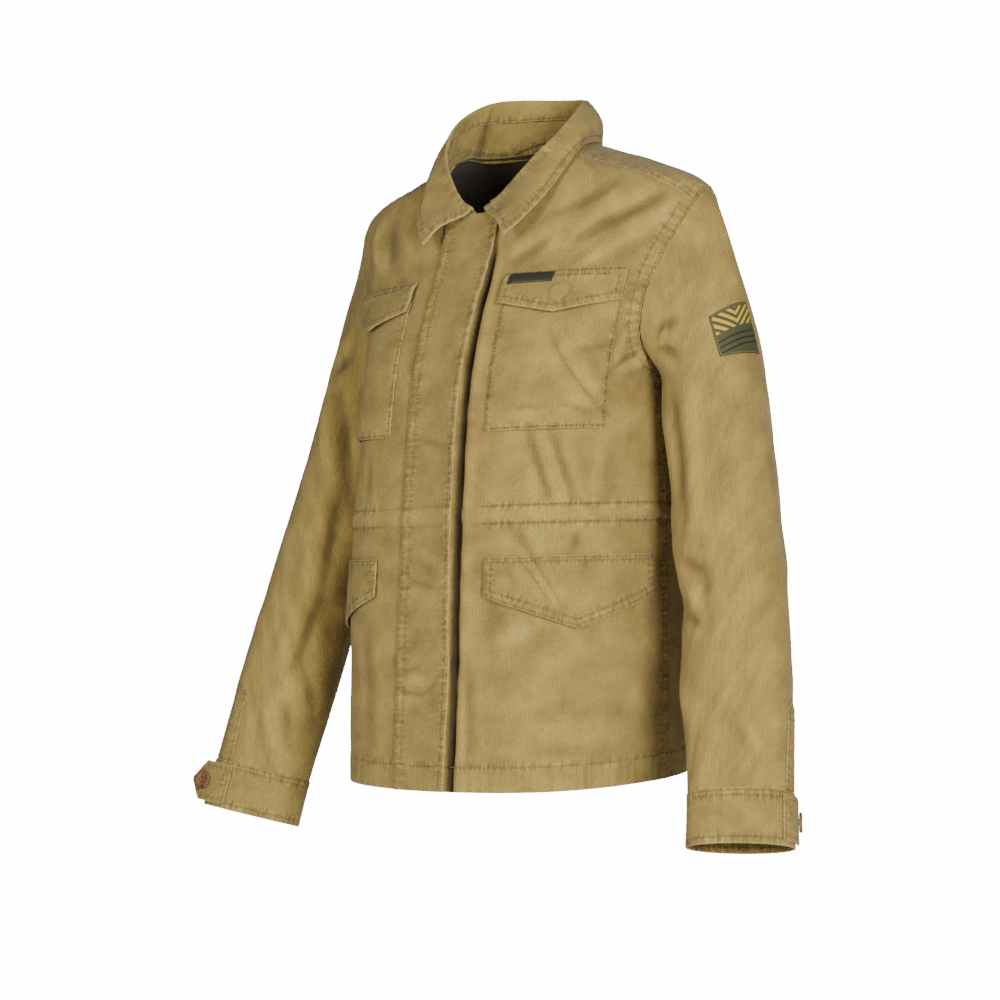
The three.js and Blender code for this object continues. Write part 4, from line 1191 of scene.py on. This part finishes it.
def sewing_thread():
    """Spun polyester thread dyed with the cloth: a little darker and smoother than it."""
    made, tree = material("spun_polyester_thread")
    place = add(tree, "ShaderNodeTexCoord").outputs["Object"]
    grain = add(tree, "ShaderNodeTexNoise", {0: place, 2: 900.0, 3: 2.0}).outputs[0]
    ramp = add(tree, "ShaderNodeValToRGB", {0: grain})
    ends = ramp.color_ramp.elements
    ends[0].color, ends[1].color = linear("705A2B"), linear("96804B")
    bump = add(tree, "ShaderNodeBump", {"Height": grain, "Strength": 0.3, "Distance": 0.0002}).outputs[0]
    shader = add(
        tree, "ShaderNodeBsdfPrincipled", {"Base Color": ramp.outputs[0], "Roughness": 0.6, "Normal": bump}
    )
    add(tree, "ShaderNodeOutputMaterial", {0: shader.outputs[0]})
    return made


def woven_label(name, ground, border_width, stripes):
    """A close damask-woven label or patch: fine threads across, a turned and stitched border."""
    made, tree = material(name)
    cloth, x, y = split_uv(tree, "cloth")
    _, _, near = split_uv(tree, "seam")
    thread = add(tree, "ShaderNodeMath", {0: y, 1: 2 * PI / LABEL_THREAD}, operation="MULTIPLY").outputs[0]
    thread = add(tree, "ShaderNodeMath", {0: thread}, operation="SINE").outputs[0]
    mottle = add(tree, "ShaderNodeTexNoise", {0: cloth, 2: 0.8, 3: 3.0, 4: 0.7}).outputs[0]
    ramp = add(tree, "ShaderNodeValToRGB", {0: mottle})
    ends = ramp.color_ramp.elements
    ends[0].position, ends[1].position = 0.3, 0.7
    ends[0].color, ends[1].color = linear(ground[0]), linear(ground[1])
    colour = ramp.outputs[0]
    for low, high, slope, pitch, share, shade in stripes:
        # Bars that lean away from the middle, between two heights and inside the border
        bend = add(tree, "ShaderNodeMath", {0: x}, operation="ABSOLUTE").outputs[0]
        bend = add(tree, "ShaderNodeMath", {0: bend, 1: slope, 2: y}, operation="MULTIPLY_ADD").outputs[0]
        wave = add(tree, "ShaderNodeMath", {0: bend, 1: pitch}, operation="FLOORED_MODULO").outputs[0]
        bar = add(tree, "ShaderNodeMath", {0: wave, 1: pitch * share}, operation="LESS_THAN").outputs[0]
        for value, limit, side_of in (
            (y, low, "GREATER_THAN"),
            (y, high, "LESS_THAN"),
            (near, border_width * 2.2, "GREATER_THAN"),
        ):
            gate = add(tree, "ShaderNodeMath", {0: value, 1: limit}, operation=side_of).outputs[0]
            bar = add(tree, "ShaderNodeMath", {0: bar, 1: gate}, operation="MULTIPLY").outputs[0]
        colours = {0: bar, 6: colour, 7: linear(shade)}
        colour = add(tree, "ShaderNodeMix", colours, data_type="RGBA").outputs[2]
    colour = scaled(tree, colour, thread, -1.0, 1.0, 0.82, 1.1)
    colour = scaled(tree, colour, near, border_width, border_width + 0.4, 0.75, 1.0)
    relief = add(tree, "ShaderNodeMath", {0: thread, 1: 0.00008}, operation="MULTIPLY").outputs[0]
    bump = add(tree, "ShaderNodeBump", {"Height": relief, "Strength": 1.0, "Distance": 1.0}).outputs[0]
    shader = add(
        tree, "ShaderNodeBsdfPrincipled", {"Base Color": colour, "Roughness": 0.75, "Normal": bump}
    )
    add(tree, "ShaderNodeOutputMaterial", {0: shader.outputs[0]})
    return made


def moulded_button():
    """Moulded urea in a marbled brown: low gloss, with a few darker veins."""
    made, tree = material("moulded_urea_button")
    place = add(tree, "ShaderNodeTexCoord").outputs["Object"]
    cloud = add(tree, "ShaderNodeTexNoise", {0: place, 2: 160.0, 3: 3.0, 8: 1.2}).outputs[0]
    ramp = add(tree, "ShaderNodeValToRGB", {0: cloud})
    ends = ramp.color_ramp.elements
    ends[0].position, ends[1].position = 0.35, 0.7
    ends[0].color, ends[1].color = linear("5A3A26"), linear("8A6246")
    bump = add(tree, "ShaderNodeBump", {"Height": cloud, "Strength": 0.15, "Distance": 0.0003}).outputs[0]
    shader = add(
        tree, "ShaderNodeBsdfPrincipled", {"Base Color": ramp.outputs[0], "Roughness": 0.42, "Normal": bump}
    )
    add(tree, "ShaderNodeOutputMaterial", {0: shader.outputs[0]})
    return made


MATERIALS = {
    "twill": cotton_twill("washed_cotton_herringbone_twill", "7C652C", "9C8541", "BFA96C"),
    # The inside of the body, seen only through the neck: the same twill in much darker colours, painted
    # shade for inner faces that little light reaches
    "inside": cotton_twill("inside_twill_painted_shade", "30260F", "3E3216", "4A3C20"),
    "thread": sewing_thread(),
    "label": woven_label("woven_damask_label", ("1B1D14", "26291B"), 0.8, []),
    "patch": woven_label(
        "woven_badge",
        ("3F3F26", "4E4C2C"),
        1.0,
        [(3, 21, 0.8, 7.5, 0.5, "C6A02C"), (27, 43, 0.0, 5.5, 0.3, "1E1E14")],
    ),
    "button": moulded_button(),
}


# Pieces of the body


def on_body(node, side, place, us, vs, out=0, thick=CLOTH, winding=None):
    def turned(u, v):
        turn, z = place(u, v)
        return (turn if side == LEFT else -PI - turn), z

    def surface(u, v):
        return body_at(*turned(u, v))

    def facing(u, v):
        turn, z = turned(u, v)
        return outward(body_at, turn, z, 0.01, 0.5)

    made = Cloth(node, surface, us, vs, out, thick, winding or side, facing=facing)
    made.z = turned(made.u, made.v)[1]
    return made


def hem_thick(turn, z):
    return CLOTH + (HEM_CLOTH - CLOTH) * (1 - smooth(z - hem_at(turn), HEM_STITCH - 1, HEM_STITCH + 1))


def waist_rows(made, first, last):
    """The two rows that hold the drawcord's tunnel, between two distances round the front or back."""
    where = (made.x > first) & (made.x < last)
    for edge_z, seed in ((WAIST + TUNNEL / 2, 5), (WAIST - TUNNEL / 2, 6)):
        away = made.z - edge_z
        wave = ripple(made.x, seed + SEED_STEP * len(made.lines))
        spread = np.exp(-((away / PUCKER_REACH) ** 2))
        dent = WAIST_DENT * np.exp(-((away / WAIST_DENT_WIDTH) ** 2))
        made.off = made.off + where * (WAIST_PUCKER * wave * spread - dent)
        made.seams.append((away, made.x, (0,), where.astype(float), WAIST_SHIFT))
        # Where each column of the grid crosses the row
        grids = (*np.moveaxis(made.p, -1, 0), made.x)
        columns = range(away.shape[1])
        row = np.array([[np.interp(0, away[:, k], grid[:, k]) for grid in grids] for k in columns])
        gone, even = spread_out(row[:, :3], 1.0)
        kept = np.interp(even, gone, row[:, 3])
        made.lines.append((along_line(gone, even, row[:, :3]), (kept > first) & (kept < last)))


# The grid's heights below the arms, from -1 to 0, with more of them at the waist's rows
AT_WAIST = (WAIST + np.array([-10, -9, -8, -7, 7, 8, 9, 10]) - HEM) / (ARM_BOTTOM - HEM) - 1
LOWER_STEPS = np.unique(np.concatenate([graded(*BELOW_ARMS, True, False) - 1, AT_WAIST]))


def front_panel(side, edge):
    neck_edge = 1 - 2 / PI * math.asin(edge / NECK_HALF)
    neck_z = float(neck_front(neck_edge)[1])
    corner = 0.42

    def inner(z):
        return turn_at(np.full(np.shape(z), float(edge)), z)

    def top(s):
        neck = neck_front(mix(neck_edge, YOKE_NECK, np.minimum(s, corner) / corner))
        seam = yoke_seam(np.clip((s - corner) / (1 - corner), 0, 1))
        return np.where(s < corner, neck[0], seam[0]), np.where(s < corner, neck[1], seam[1])

    def start(t):
        z = mix(ARM_BOTTOM, neck_z, t)
        return inner(z), z

    pit_turn = float(inner(np.array(float(ARM_BOTTOM))))
    upper = patch(
        lambda s: (mix(pit_turn, 0, s), np.full_like(s, ARM_BOTTOM)),
        top,
        start,
        lambda t: armhole(mix(PI, YOKE_ARM_TURN, t)),
    )

    def place(s, t):
        hem_turn = mix(inner(np.full_like(s, HEM)), 0, s)
        z = mix(ARM_BOTTOM, hem_at(hem_turn), np.clip(-t, 0, 1))
        low = mix(inner(z), 0, s), z
        high = upper(s, np.clip(t, 0, 1))
        return np.where(t > 0, high[0], low[0]), np.where(t > 0, high[1], low[1])

    us = with_places(graded(*FRONT_ACROSS), corner)
    vs = np.concatenate([LOWER_STEPS, graded(*FRONT_ABOVE, False, True)[1:]])
    made = on_body("front_" + SIDES[side], side, place, us, vs, thick=lambda s, t: hem_thick(*place(s, t)))
    made.sew("low", (HEM_STITCH,), pucker=0.28, band=0.25, seed=1)
    made.sew("end", (2, 12), pucker=0.42, band=0.45, part=made.v >= 0, seed=2)
    made.sew("end", (2, 8), pucker=0.3, band=0.35, part=made.v <= 0, seed=3)
    made.sew("high", (), pucker=0, band=0.5, seed=4)
    waist_rows(made, 81 if side == LEFT else 30, 999)
    if side == LEFT:
        # The cloth falls back under the placket's free edge, which leaves a dark gap along it
        across = made.x + edge
        deep = (GROOVE_DEEP + GROOVE_UNEVEN * ripple(made.z / 5, 19)) * smooth(made.z, *GROOVE_TOP)
        made.off = made.off - deep * np.exp(-(((across - PLACKET_OUTER + GROOVE_IN) / GROOVE_WIDE) ** 2))
    made.finish(grain_v=made.z, inside="inside")


def back_panel():
    def place(s, t):
        z = mix(ARM_BOTTOM, hem_at(PI * s), np.clip(-t, 0, 1))
        edge = armhole(-mix(PI, YOKE_BACK_ANGLE, np.clip(t, 0, 1)))
        turn = np.where(t > 0, mix(edge[0], PI - edge[0], s), mix(0, PI, s))
        return turn, np.where(t > 0, edge[1], z)

    us = graded(*BACK_ACROSS)
    vs = np.concatenate([LOWER_STEPS, graded(*BACK_ABOVE, False, True)[1:]])
    made = on_body("back", LEFT, place, us, vs, thick=lambda s, t: hem_thick(*place(s, t)))
    made.sew("low", (HEM_STITCH,), pucker=0.28, band=0.25, seed=21)
    for edge in ("start", "end"):
        made.sew(edge, (2, 12), pucker=0.4, band=0.45, part=made.v >= 0, seed=22)
    made.sew("high", (), pucker=0, band=0.5, seed=23)
    waist_rows(made, 0, 999)
    made.finish(grain_v=made.z, inside="inside")


def yoke_panel():
    bend = 0.62
    corner_turn = float(armhole(-YOKE_BACK_ANGLE)[0])
    front = 0.22

    def inner_edge(u):
        before = neck_front(mix(YOKE_NECK, 0, np.clip(u / front, 0, 1)))
        behind = neck_back(np.clip((u - front) / (1 - front), 0, 1))
        return np.where(u < front, before[0], behind[0]), np.where(u < front, before[1], behind[1])

    def outer_edge(u):
        arm = armhole(mix(YOKE_ARM_TURN, -YOKE_BACK_ANGLE, np.clip(u / bend, 0, 1)))
        turn = mix(corner_turn, PI / 2, np.clip((u - bend) / (1 - bend), 0, 1))
        return np.where(u < bend, arm[0], turn), np.where(u < bend, arm[1], YOKE_BACK)

    def place(u, t):
        turn, z = blend_places(inner_edge(1 - np.abs(u)), outer_edge(1 - np.abs(u)), t)
        return np.where(u < 0, turn, PI - turn), z

    half = with_places(graded(*YOKE_HALF, True, False), front, bend)
    us = np.concatenate([half - 1, (1 - half[:-1])[::-1]])
    made = on_body("yoke", LEFT, place, us, graded(*YOKE_DOWN), winding=RIGHT)
    arm = 1 - np.abs(made.u) < bend
    made.sew("high", (2, 10), pucker=0.4, band=0.4, part=arm, seed=31)
    made.sew("high", (2, 9), pucker=0.25, band=0.3, part=~arm, seed=32)
    for edge in ("start", "end"):
        made.sew(edge, (2, 9), pucker=0.3, band=0.35, seed=33)
    made.finish(inside="inside")


def front_placket():
    def place(s, t):
        across = mix(PLACKET_INNER, PLACKET_OUTER, s)
        fall = NECK_DROP * (1 - np.sqrt(1 - (across / NECK_HALF) ** 2))
        z = mix(HEM, -NECK_DROP, t) + fall * t**12
        return turn_at(across, z), z

    def out(s, t):
        stands_off = PLACKET_STANDS_OFF * s**3 * smooth(t, 0.98, 0.6)
        return FOLDED + LYING_GAP + PLACKET_LIFT * s * s * (1 - t**12) + stands_off

    us, vs = graded(*PLACKET_ACROSS), graded(*PLACKET_DOWN)
    made = on_body("front_placket", LEFT, place, us, vs, out, FOLDED)
    made.sew("start", (1.8, 9.5), pucker=0.32, band=0.3, seed=41)
    made.sew("end", (5.5,), pucker=0.38, band=0.2, seed=42)
    made.sew("low", (HEM_STITCH,), pucker=0.15, band=0.15, seed=43)
    made.finish(grain_v=made.z)


# Pockets and flaps


def on_front(node, side, across, width, top, fall, us, vs, out, thick=CLOTH):
    def place(s, t):
        z = top - fall(s) * (1 - t)
        return turn_at(across + side * CENTRE + width * s, z), z

    return on_body(node, side, place, us, vs, out, thick)


def chest_pocket(side):
    across, width, top, height = CHEST_POCKET

    def out(s, t):
        swell = POCKET_SWELL * np.sin(PI * s) * np.sin(PI * np.minimum(1, t + 0.15))
        return CLOTH + 2 * LYING_GAP + swell

    made = on_front(
        "chest_pocket_" + SIDES[side], side, across, width, top, lambda s: height + 0 * s,
        graded(width, 2.4), graded(height, 2.4), out,
    )
    made.off = made.off - POCKET_PRESS * np.exp(-((made.rim / POCKET_PRESS_WIDTH) ** 2))
    for edge in ("start", "end", "low"):
        made.sew(edge, (2.2,), pucker=0.3, band=0.1, seed=51 + side)
    made.finish(grain_v=made.z)


OVER_POCKET = CLOTH + 2 * LYING_GAP


def flap_fall(side_fall, point_fall, s):
    return mix(side_fall, point_fall, 1 - np.abs(2 * s - 1))


def flap_out(over, s, t):
    swell = (1 - t) * (FLAP_SWELL + FLAP_FULL * over * np.sin(PI * s))
    return FOLDED + LYING_GAP + over * np.minimum(1, 4 * (1 - t)) + swell


def flap(node, side, size, over, rows, snap=False):
    across, width, top, side_fall, point_fall = size
    us = with_places(graded(width, 2.0), 0.5)
    made = on_front(
        node, side, across, width, top, lambda s: flap_fall(side_fall, point_fall, s),
        us, graded(point_fall, 1.8), lambda s, t: flap_out(over, s, t), FOLDED,
    )
    for edge in ("start", "end", "low"):
        made.sew(edge, rows, pucker=0.34, band=0.15, seed=61 + side)
    made.sew("high", (2, 8) if over else (1.6, 5), pucker=0.25, band=0.1, seed=64)
    if snap:
        # The round snap under the flap presses through the cloth
        far = np.hypot(made.x - SNAP_PLACE[0], made.y - SNAP_PLACE[1])
        ring = np.exp(-(((far - SNAP_RING_RADIUS) / SNAP_RING_WIDTH) ** 2))
        made.off = made.off + SNAP_RAISE * (1 - smooth(far, SNAP_INNER, SNAP_OUTER)) - SNAP_RING * ring
    made.finish(grain_v=made.z)


# Sleeves and cuffs


def sleeve(side):
    def surface(angle, v):
        return sleeve_at(side, angle, v)

    angles = np.linspace(-PI, PI, ROUND_SLEEVE)
    head = graded(*SLEEVE_HEAD_DOWN, True, False)
    arm = graded(CUFF_TOP, SLEEVE_HEAD_DOWN[1], False, True)[1:] * CUFF_TOP / HEAD + 1
    vs = np.concatenate([head, arm])
    made = Cloth("sleeve_" + SIDES[side], surface, angles, vs, side=side, closed=True)
    made.sew("low", (), pucker=0.3, band=0.0, seed=71)
    made.sew("high", (), pucker=0.3, band=0.0, seed=72)
    made.finish()


def cuff(side):
    def surface(angle, v):
        return bare_sleeve(side, angle, v)

    us = np.linspace(-PI, PI, ROUND_CUFF)
    vs = mix(ring_v(CUFF_TOP), ring_v(CUFF_END), graded(CUFF_END - CUFF_TOP, 2.4))
    made = Cloth("cuff_" + SIDES[side], surface, us, vs, CUFF_OUT, FOLDED, side, True)
    made.sew("low", (1.6, 6.5), pucker=0.32, band=0.2, seed=81)
    made.sew("high", (6,), pucker=0.32, band=0.1, seed=82)
    made.finish()


def slit_binding(side):
    def surface(s, t):
        rise = SLIT_LENGTH + SLIT_POINT * (1 - np.abs(2 * s - 1)) - SLIT_POINT
        down = CUFF_TOP - 0.4 - rise * t
        return sleeve_at(side, slit_edge(side, down) - (1 - s) * SLIT_WIDTH / ROUND, ring_v(down))

    us = with_places(graded(SLIT_WIDTH, 1.6), 0.5)
    vs = graded(SLIT_LENGTH, 2.0)
    made = Cloth("sleeve_slit_" + SIDES[side], surface, us, vs, CLOTH + LYING_GAP, CLOTH, -side)
    made.off = made.off - SLIT_PRESS * np.exp(-((made.rim / SLIT_PRESS_WIDTH) ** 2))
    for edge in ("start", "end"):
        made.sew(edge, (2,), pucker=0.25, band=0.1, seed=91)
    made.sew("high", (2,), pucker=0.1, band=0.1, seed=92)
    made.sew("high", (12,), pucker=0.1, band=0.0, seed=93)
    made.finish()


TAB_MIDDLE = (CUFF_TOP + CUFF_END) / 2


def cuff_tab(side):
    def surface(s, t):
        reach = mix(TAB_START, TAB_REACH, s)
        narrow = np.maximum(0, (reach - TAB_REACH + TAB_POINT) / TAB_POINT)
        half = mix(TAB_HEIGHT / 2, 2, narrow)
        return tab_at(side, reach, TAB_MIDDLE + half * (1 - 2 * t))

    bend = (TAB_REACH - TAB_POINT - TAB_START) / (TAB_REACH - TAB_START)
    us = with_places(graded(TAB_REACH - TAB_START, 1.8), bend)
    made = Cloth("cuff_tab_" + SIDES[side], surface, us, graded(TAB_HEIGHT, 1.8), 0, TAB_THICK, side)
    for edge in ("low", "high", "end"):
        made.sew(edge, (4.5,), pucker=0.22, band=0.15, seed=95)
    made.sew("start", (2, 8), pucker=0.2, band=0.1, seed=96)
    made.finish()


# Collar


def collar():
    half = graded(*COLLAR_HALF, True, False)
    us = np.concatenate([half - 1, 1 - half[-2::-1]])
    # The stand begins below the neck's edge, inside it
    rows = np.concatenate([[-0.22, -0.16, -0.1, -0.05], graded(*STAND_DOWN)])
    stand = Cloth("collar_stand", stand_at, us, rows, stand_out)
    stand.sew("low", (10,), pucker=0.3, band=0, seed=101)
    stand.finish()
    fall = Cloth("collar_fall", fall_at, us, graded(*FALL_DOWN), FOLDED / 2, FOLDED)
    fall.off = fall.off + 0.5 * uneven(fall.p, 42, 9) * smooth(fall.rim, 0, 12)
    for edge in ("high", "start", "end"):
        fall.sew(edge, (6,), pucker=0.36, band=0.15, seed=102)
    fall.sew("low", (2,), pucker=0.2, band=0, seed=104)
    fall.finish()


def hanger_loop():
    def surface(s, t):
        q = 2 * s - 1
        p = neck_at(q * LOOP_SPAN)
        inward = unit(p * np.array([1, 1, 0])) * (LOOP_IN + LOOP_SWAY * (1 - q * q))[..., None]
        return p - inward + point(0, 0, LOOP_UP + LOOP_RISE * (1 - q * q) + LOOP_WIDE * t)

    us, vs = np.linspace(0, 1, ALONG_LOOP), graded(LOOP_WIDE, 0.8, False, False)
    made = Cloth("hanger_loop", surface, us, vs, 0, LOOP_THICK)
    made.sew("low", (1.2,), pucker=0.05, band=0, seed=105)
    made.sew("high", (1.2,), pucker=0.05, band=0, seed=106)
    made.finish()


# Label and patch


def chest_label():
    across, width, top, height = LABEL
    flap_across, flap_width, flap_top, side_fall, point_fall = CHEST_FLAP

    def place(s, t):
        z = top - height * (1 - t)
        return turn_at(across + CENTRE + width * s, z), z

    def out(s, t):
        x = (across + width * s - flap_across) / flap_width
        z = top - height * (1 - t)
        share = 1 - (flap_top - z) / flap_fall(side_fall, point_fall, x)
        return flap_out(OVER_POCKET, x, share) + LABEL_GAP + LABEL_THICK

    made = on_body("chest_label", LEFT, place, graded(width, 1.6), graded(height, 1.0), out, LABEL_THICK)
    for edge in ("start", "end", "low", "high"):
        made.sew(edge, (1.2,), pucker=0.08, band=0, seed=111)
    made.finish(look="label")


def sleeve_patch():
    """A patch that lies a little slanted on the upper sleeve."""
    angle, v, width, height, skew, lean = math.radians(21), 0.8, 54, 49, 8, 9
    # Millimetres in a unit of turn and of place down the sleeve
    around = sleeve_at(LEFT, angle + 0.05, v) - sleeve_at(LEFT, angle - 0.05, v)
    along = sleeve_at(LEFT, angle, v + 0.05) - sleeve_at(LEFT, angle, v - 0.05)
    per_angle, per_v = (float(np.linalg.norm(step)) / 0.1 for step in (around, along))

    def surface(s, t):
        across = (s - 0.5) * width - (t - 0.5) * lean
        down = (t - 0.5) * height + (s - 0.5) * skew
        return sleeve_at(LEFT, angle + across / per_angle, v + down / per_v)

    us, vs = graded(width, 1.6), graded(height, 1.6)
    made = Cloth("sleeve_patch", surface, us, vs, LABEL_THICK + LABEL_GAP, LABEL_THICK)
    for edge in ("start", "end", "low", "high"):
        made.sew(edge, (1.4,), pucker=0.12, band=0.1, seed=121)
    made.finish(look="patch")


# Buttons, turned from a disc: a raised rim round a shallow dish, with four holes and a thread over each
# pair


def cuff_button(side):
    reach = TAB_REACH - BUTTON_FROM_POINT
    centre = tab_at(side, reach, TAB_MIDDLE)
    spot = np.array(float(reach)), np.array(TAB_MIDDLE)
    facing = -side * outward(lambda u, v: tab_at(side, u, v), *spot, 0.5, 0.5)
    radius, thick = BUTTON_RADIUS * MM, BUTTON_THICK * MM
    bpy.ops.mesh.primitive_cylinder_add(vertices=56, radius=radius, depth=thick, location=(0, 0, thick / 2))
    disc = bpy.context.object
    disc.name = "cuff_button_" + SIDES[side] + "_moulded"
    bpy.ops.object.mode_set(mode="EDIT")
    bpy.ops.mesh.select_mode(type="FACE")
    bpy.ops.mesh.select_all(action="DESELECT")
    bpy.ops.object.mode_set(mode="OBJECT")
    for face in disc.data.polygons:
        face.select = face.normal.z > 0.9
    bpy.ops.object.mode_set(mode="EDIT")
    bpy.ops.mesh.inset(thickness=radius * BUTTON_RIM, depth=0)
    bpy.ops.mesh.inset(thickness=radius * BUTTON_SLOPE, depth=-thick * BUTTON_DISH)
    bpy.ops.object.mode_set(mode="OBJECT")
    bpy.ops.object.select_all(action="DESELECT")
    holes = []
    for k in range(4):
        angle = PI / 4 + k * PI / 2
        x, y = (HOLE_OFF * math.sqrt(2) * MM * f(angle) for f in (math.cos, math.sin))
        bpy.ops.mesh.primitive_cylinder_add(
            vertices=18, radius=HOLE_RADIUS * MM, depth=3 * thick, location=(x, y, thick / 2)
        )
        holes.append(bpy.context.object)
    for hole in holes:
        cut = disc.modifiers.new("hole", "BOOLEAN")
        cut.operation, cut.object, cut.solver = "DIFFERENCE", hole, "EXACT"
    soften = disc.modifiers.new("edge", "BEVEL")
    soften.width, soften.segments = BUTTON_SOFT_EDGE * MM, 3
    soften.limit_method, soften.angle_limit = "ANGLE", math.radians(35)
    bpy.context.view_layer.objects.active = disc
    for modifier in [m.name for m in disc.modifiers]:
        bpy.ops.object.modifier_apply(modifier=modifier)
    for hole in holes:
        bpy.data.objects.remove(hole)
    disc.data.shade_smooth()
    quaternion = Vector((0, 0, 1)).rotation_difference(Vector(facing))
    move = Matrix.Translation(Vector(tilt(centre) * MM)) @ quaternion.to_matrix().to_4x4()
    move = move @ Matrix.Translation((0, 0, BUTTON_OFF * MM))
    disc.data.transform(move @ disc.matrix_world)
    disc.matrix_world = Matrix.Identity(4)
    disc.data.materials.append(MATERIALS["button"])
    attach(disc, "root")
    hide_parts("cuff_button_" + SIDES[side])
    # Thread over the two pairs of holes
    turn = np.array(quaternion.to_matrix())
    for k in (-1, 1):
        y = HOLE_OFF * k
        bends = np.array([-HOLE_OFF, -BUTTON_THREAD_BEND, BUTTON_THREAD_BEND, HOLE_OFF])
        heights = [BUTTON_THREAD_LOW, BUTTON_THREAD_HIGH, BUTTON_THREAD_HIGH, BUTTON_THREAD_LOW]
        points = centre + (point(bends, y, heights) + np.array([0, 0, BUTTON_OFF])) @ turn.T
        stitch_line(
            "cuff_tab_" + SIDES[side], points, np.tile(facing, (4, 1)),
            BUTTON_STITCH, BUTTON_STITCH_LENGTH, BUTTON_THREAD_RADIUS,
        )


back_panel()
yoke_panel()
front_panel(LEFT, LEFT_FRONT_EDGE)
front_panel(RIGHT, RIGHT_FRONT_EDGE)
front_placket()
for side in (LEFT, RIGHT):
    name = SIDES[side]
    chest_pocket(side)
    flap("chest_flap_" + name, side, CHEST_FLAP, OVER_POCKET, (6.5,), snap=side == LEFT)
    flap("lower_flap_" + name, side, LOWER_FLAP, 0, (2, 8))
    sleeve(side)
    cuff(side)
    slit_binding(side)
    cuff_tab(side)
    cuff_button(side)
collar()
hanger_loop()
chest_label()
sleeve_patch()
threads = {node: finish_threads(node) for node in list(CLOTHS)}

# Camera, fitted to the photograph, floor and light

target = Vector((-0.02715, -0.02046, -0.350))
place = Vector((1.8986, -2.5761, -0.350))
camera = bpy.data.objects.new("camera", bpy.data.cameras.new("camera"))
bpy.context.scene.collection.objects.link(camera)
camera.data.lens = 115.2
camera.data.sensor_width = 36
camera.location = place
camera.rotation_mode = "QUATERNION"
camera.rotation_quaternion = (target - place).to_track_quat("-Z", "Y")
camera.data.clip_end = 50
bpy.context.scene.camera = camera

# The studio's white floor and background are lit far over the jacket, so they show as plain white. That
# light doesn't fall on the jacket: only the camera's own view of them has it.
SEEN_WHITE = 15.0


def lit_white(tree, strength):
    seen = add(tree, "ShaderNodeLightPath").outputs["Is Camera Ray"]
    brighter = {0: seen, 1: SEEN_WHITE, 2: strength}
    return add(tree, "ShaderNodeMath", brighter, operation="MULTIPLY_ADD").outputs[0]


made, tree = material("matt_white_paint")
paint = add(tree, "ShaderNodeBsdfDiffuse", {"Color": linear("F6F5F2")})
glow = add(tree, "ShaderNodeEmission", {"Color": linear("FFFFFF"), "Strength": lit_white(tree, 0.0)})
both = add(tree, "ShaderNodeAddShader", {0: paint.outputs[0], 1: glow.outputs[0]})
add(tree, "ShaderNodeOutputMaterial", {0: both.outputs[0]})
bpy.ops.mesh.primitive_plane_add(size=24, location=(0, 0, -1.6))
floor = bpy.context.object
floor.name = "floor"
floor.data.materials.append(made)
bpy.ops.object.select_all(action="DESELECT")

world = bpy.data.worlds.new("studio")
world.use_nodes = True
tree = world.node_tree
tree.nodes.clear()
sky = add(tree, "ShaderNodeBackground", {"Color": linear("FFFFFF"), "Strength": lit_white(tree, 0.05)})
add(tree, "ShaderNodeOutputWorld", {0: sky.outputs[0]})
bpy.context.scene.world = world

LIGHTS = [
    # name, place, size, power
    ("key_right", (2.8, -1.75, 0.2), 1.0, 140),
    ("front_left", (-0.15, -3.5, 0.35), 1.3, 92),
    ("behind", (-0.9, 3.3, 0.7), 1.6, 26),
]
for name, where, size, power in LIGHTS:
    lamp = bpy.data.lights.new(name, "AREA")
    lamp.size, lamp.energy = size, power
    light = bpy.data.objects.new(name, lamp)
    bpy.context.scene.collection.objects.link(light)
    light.location = where
    light.rotation_mode = "QUATERNION"
    light.rotation_quaternion = (Vector((0, 0, -0.3)) - Vector(where)).to_track_quat("-Z", "Y")
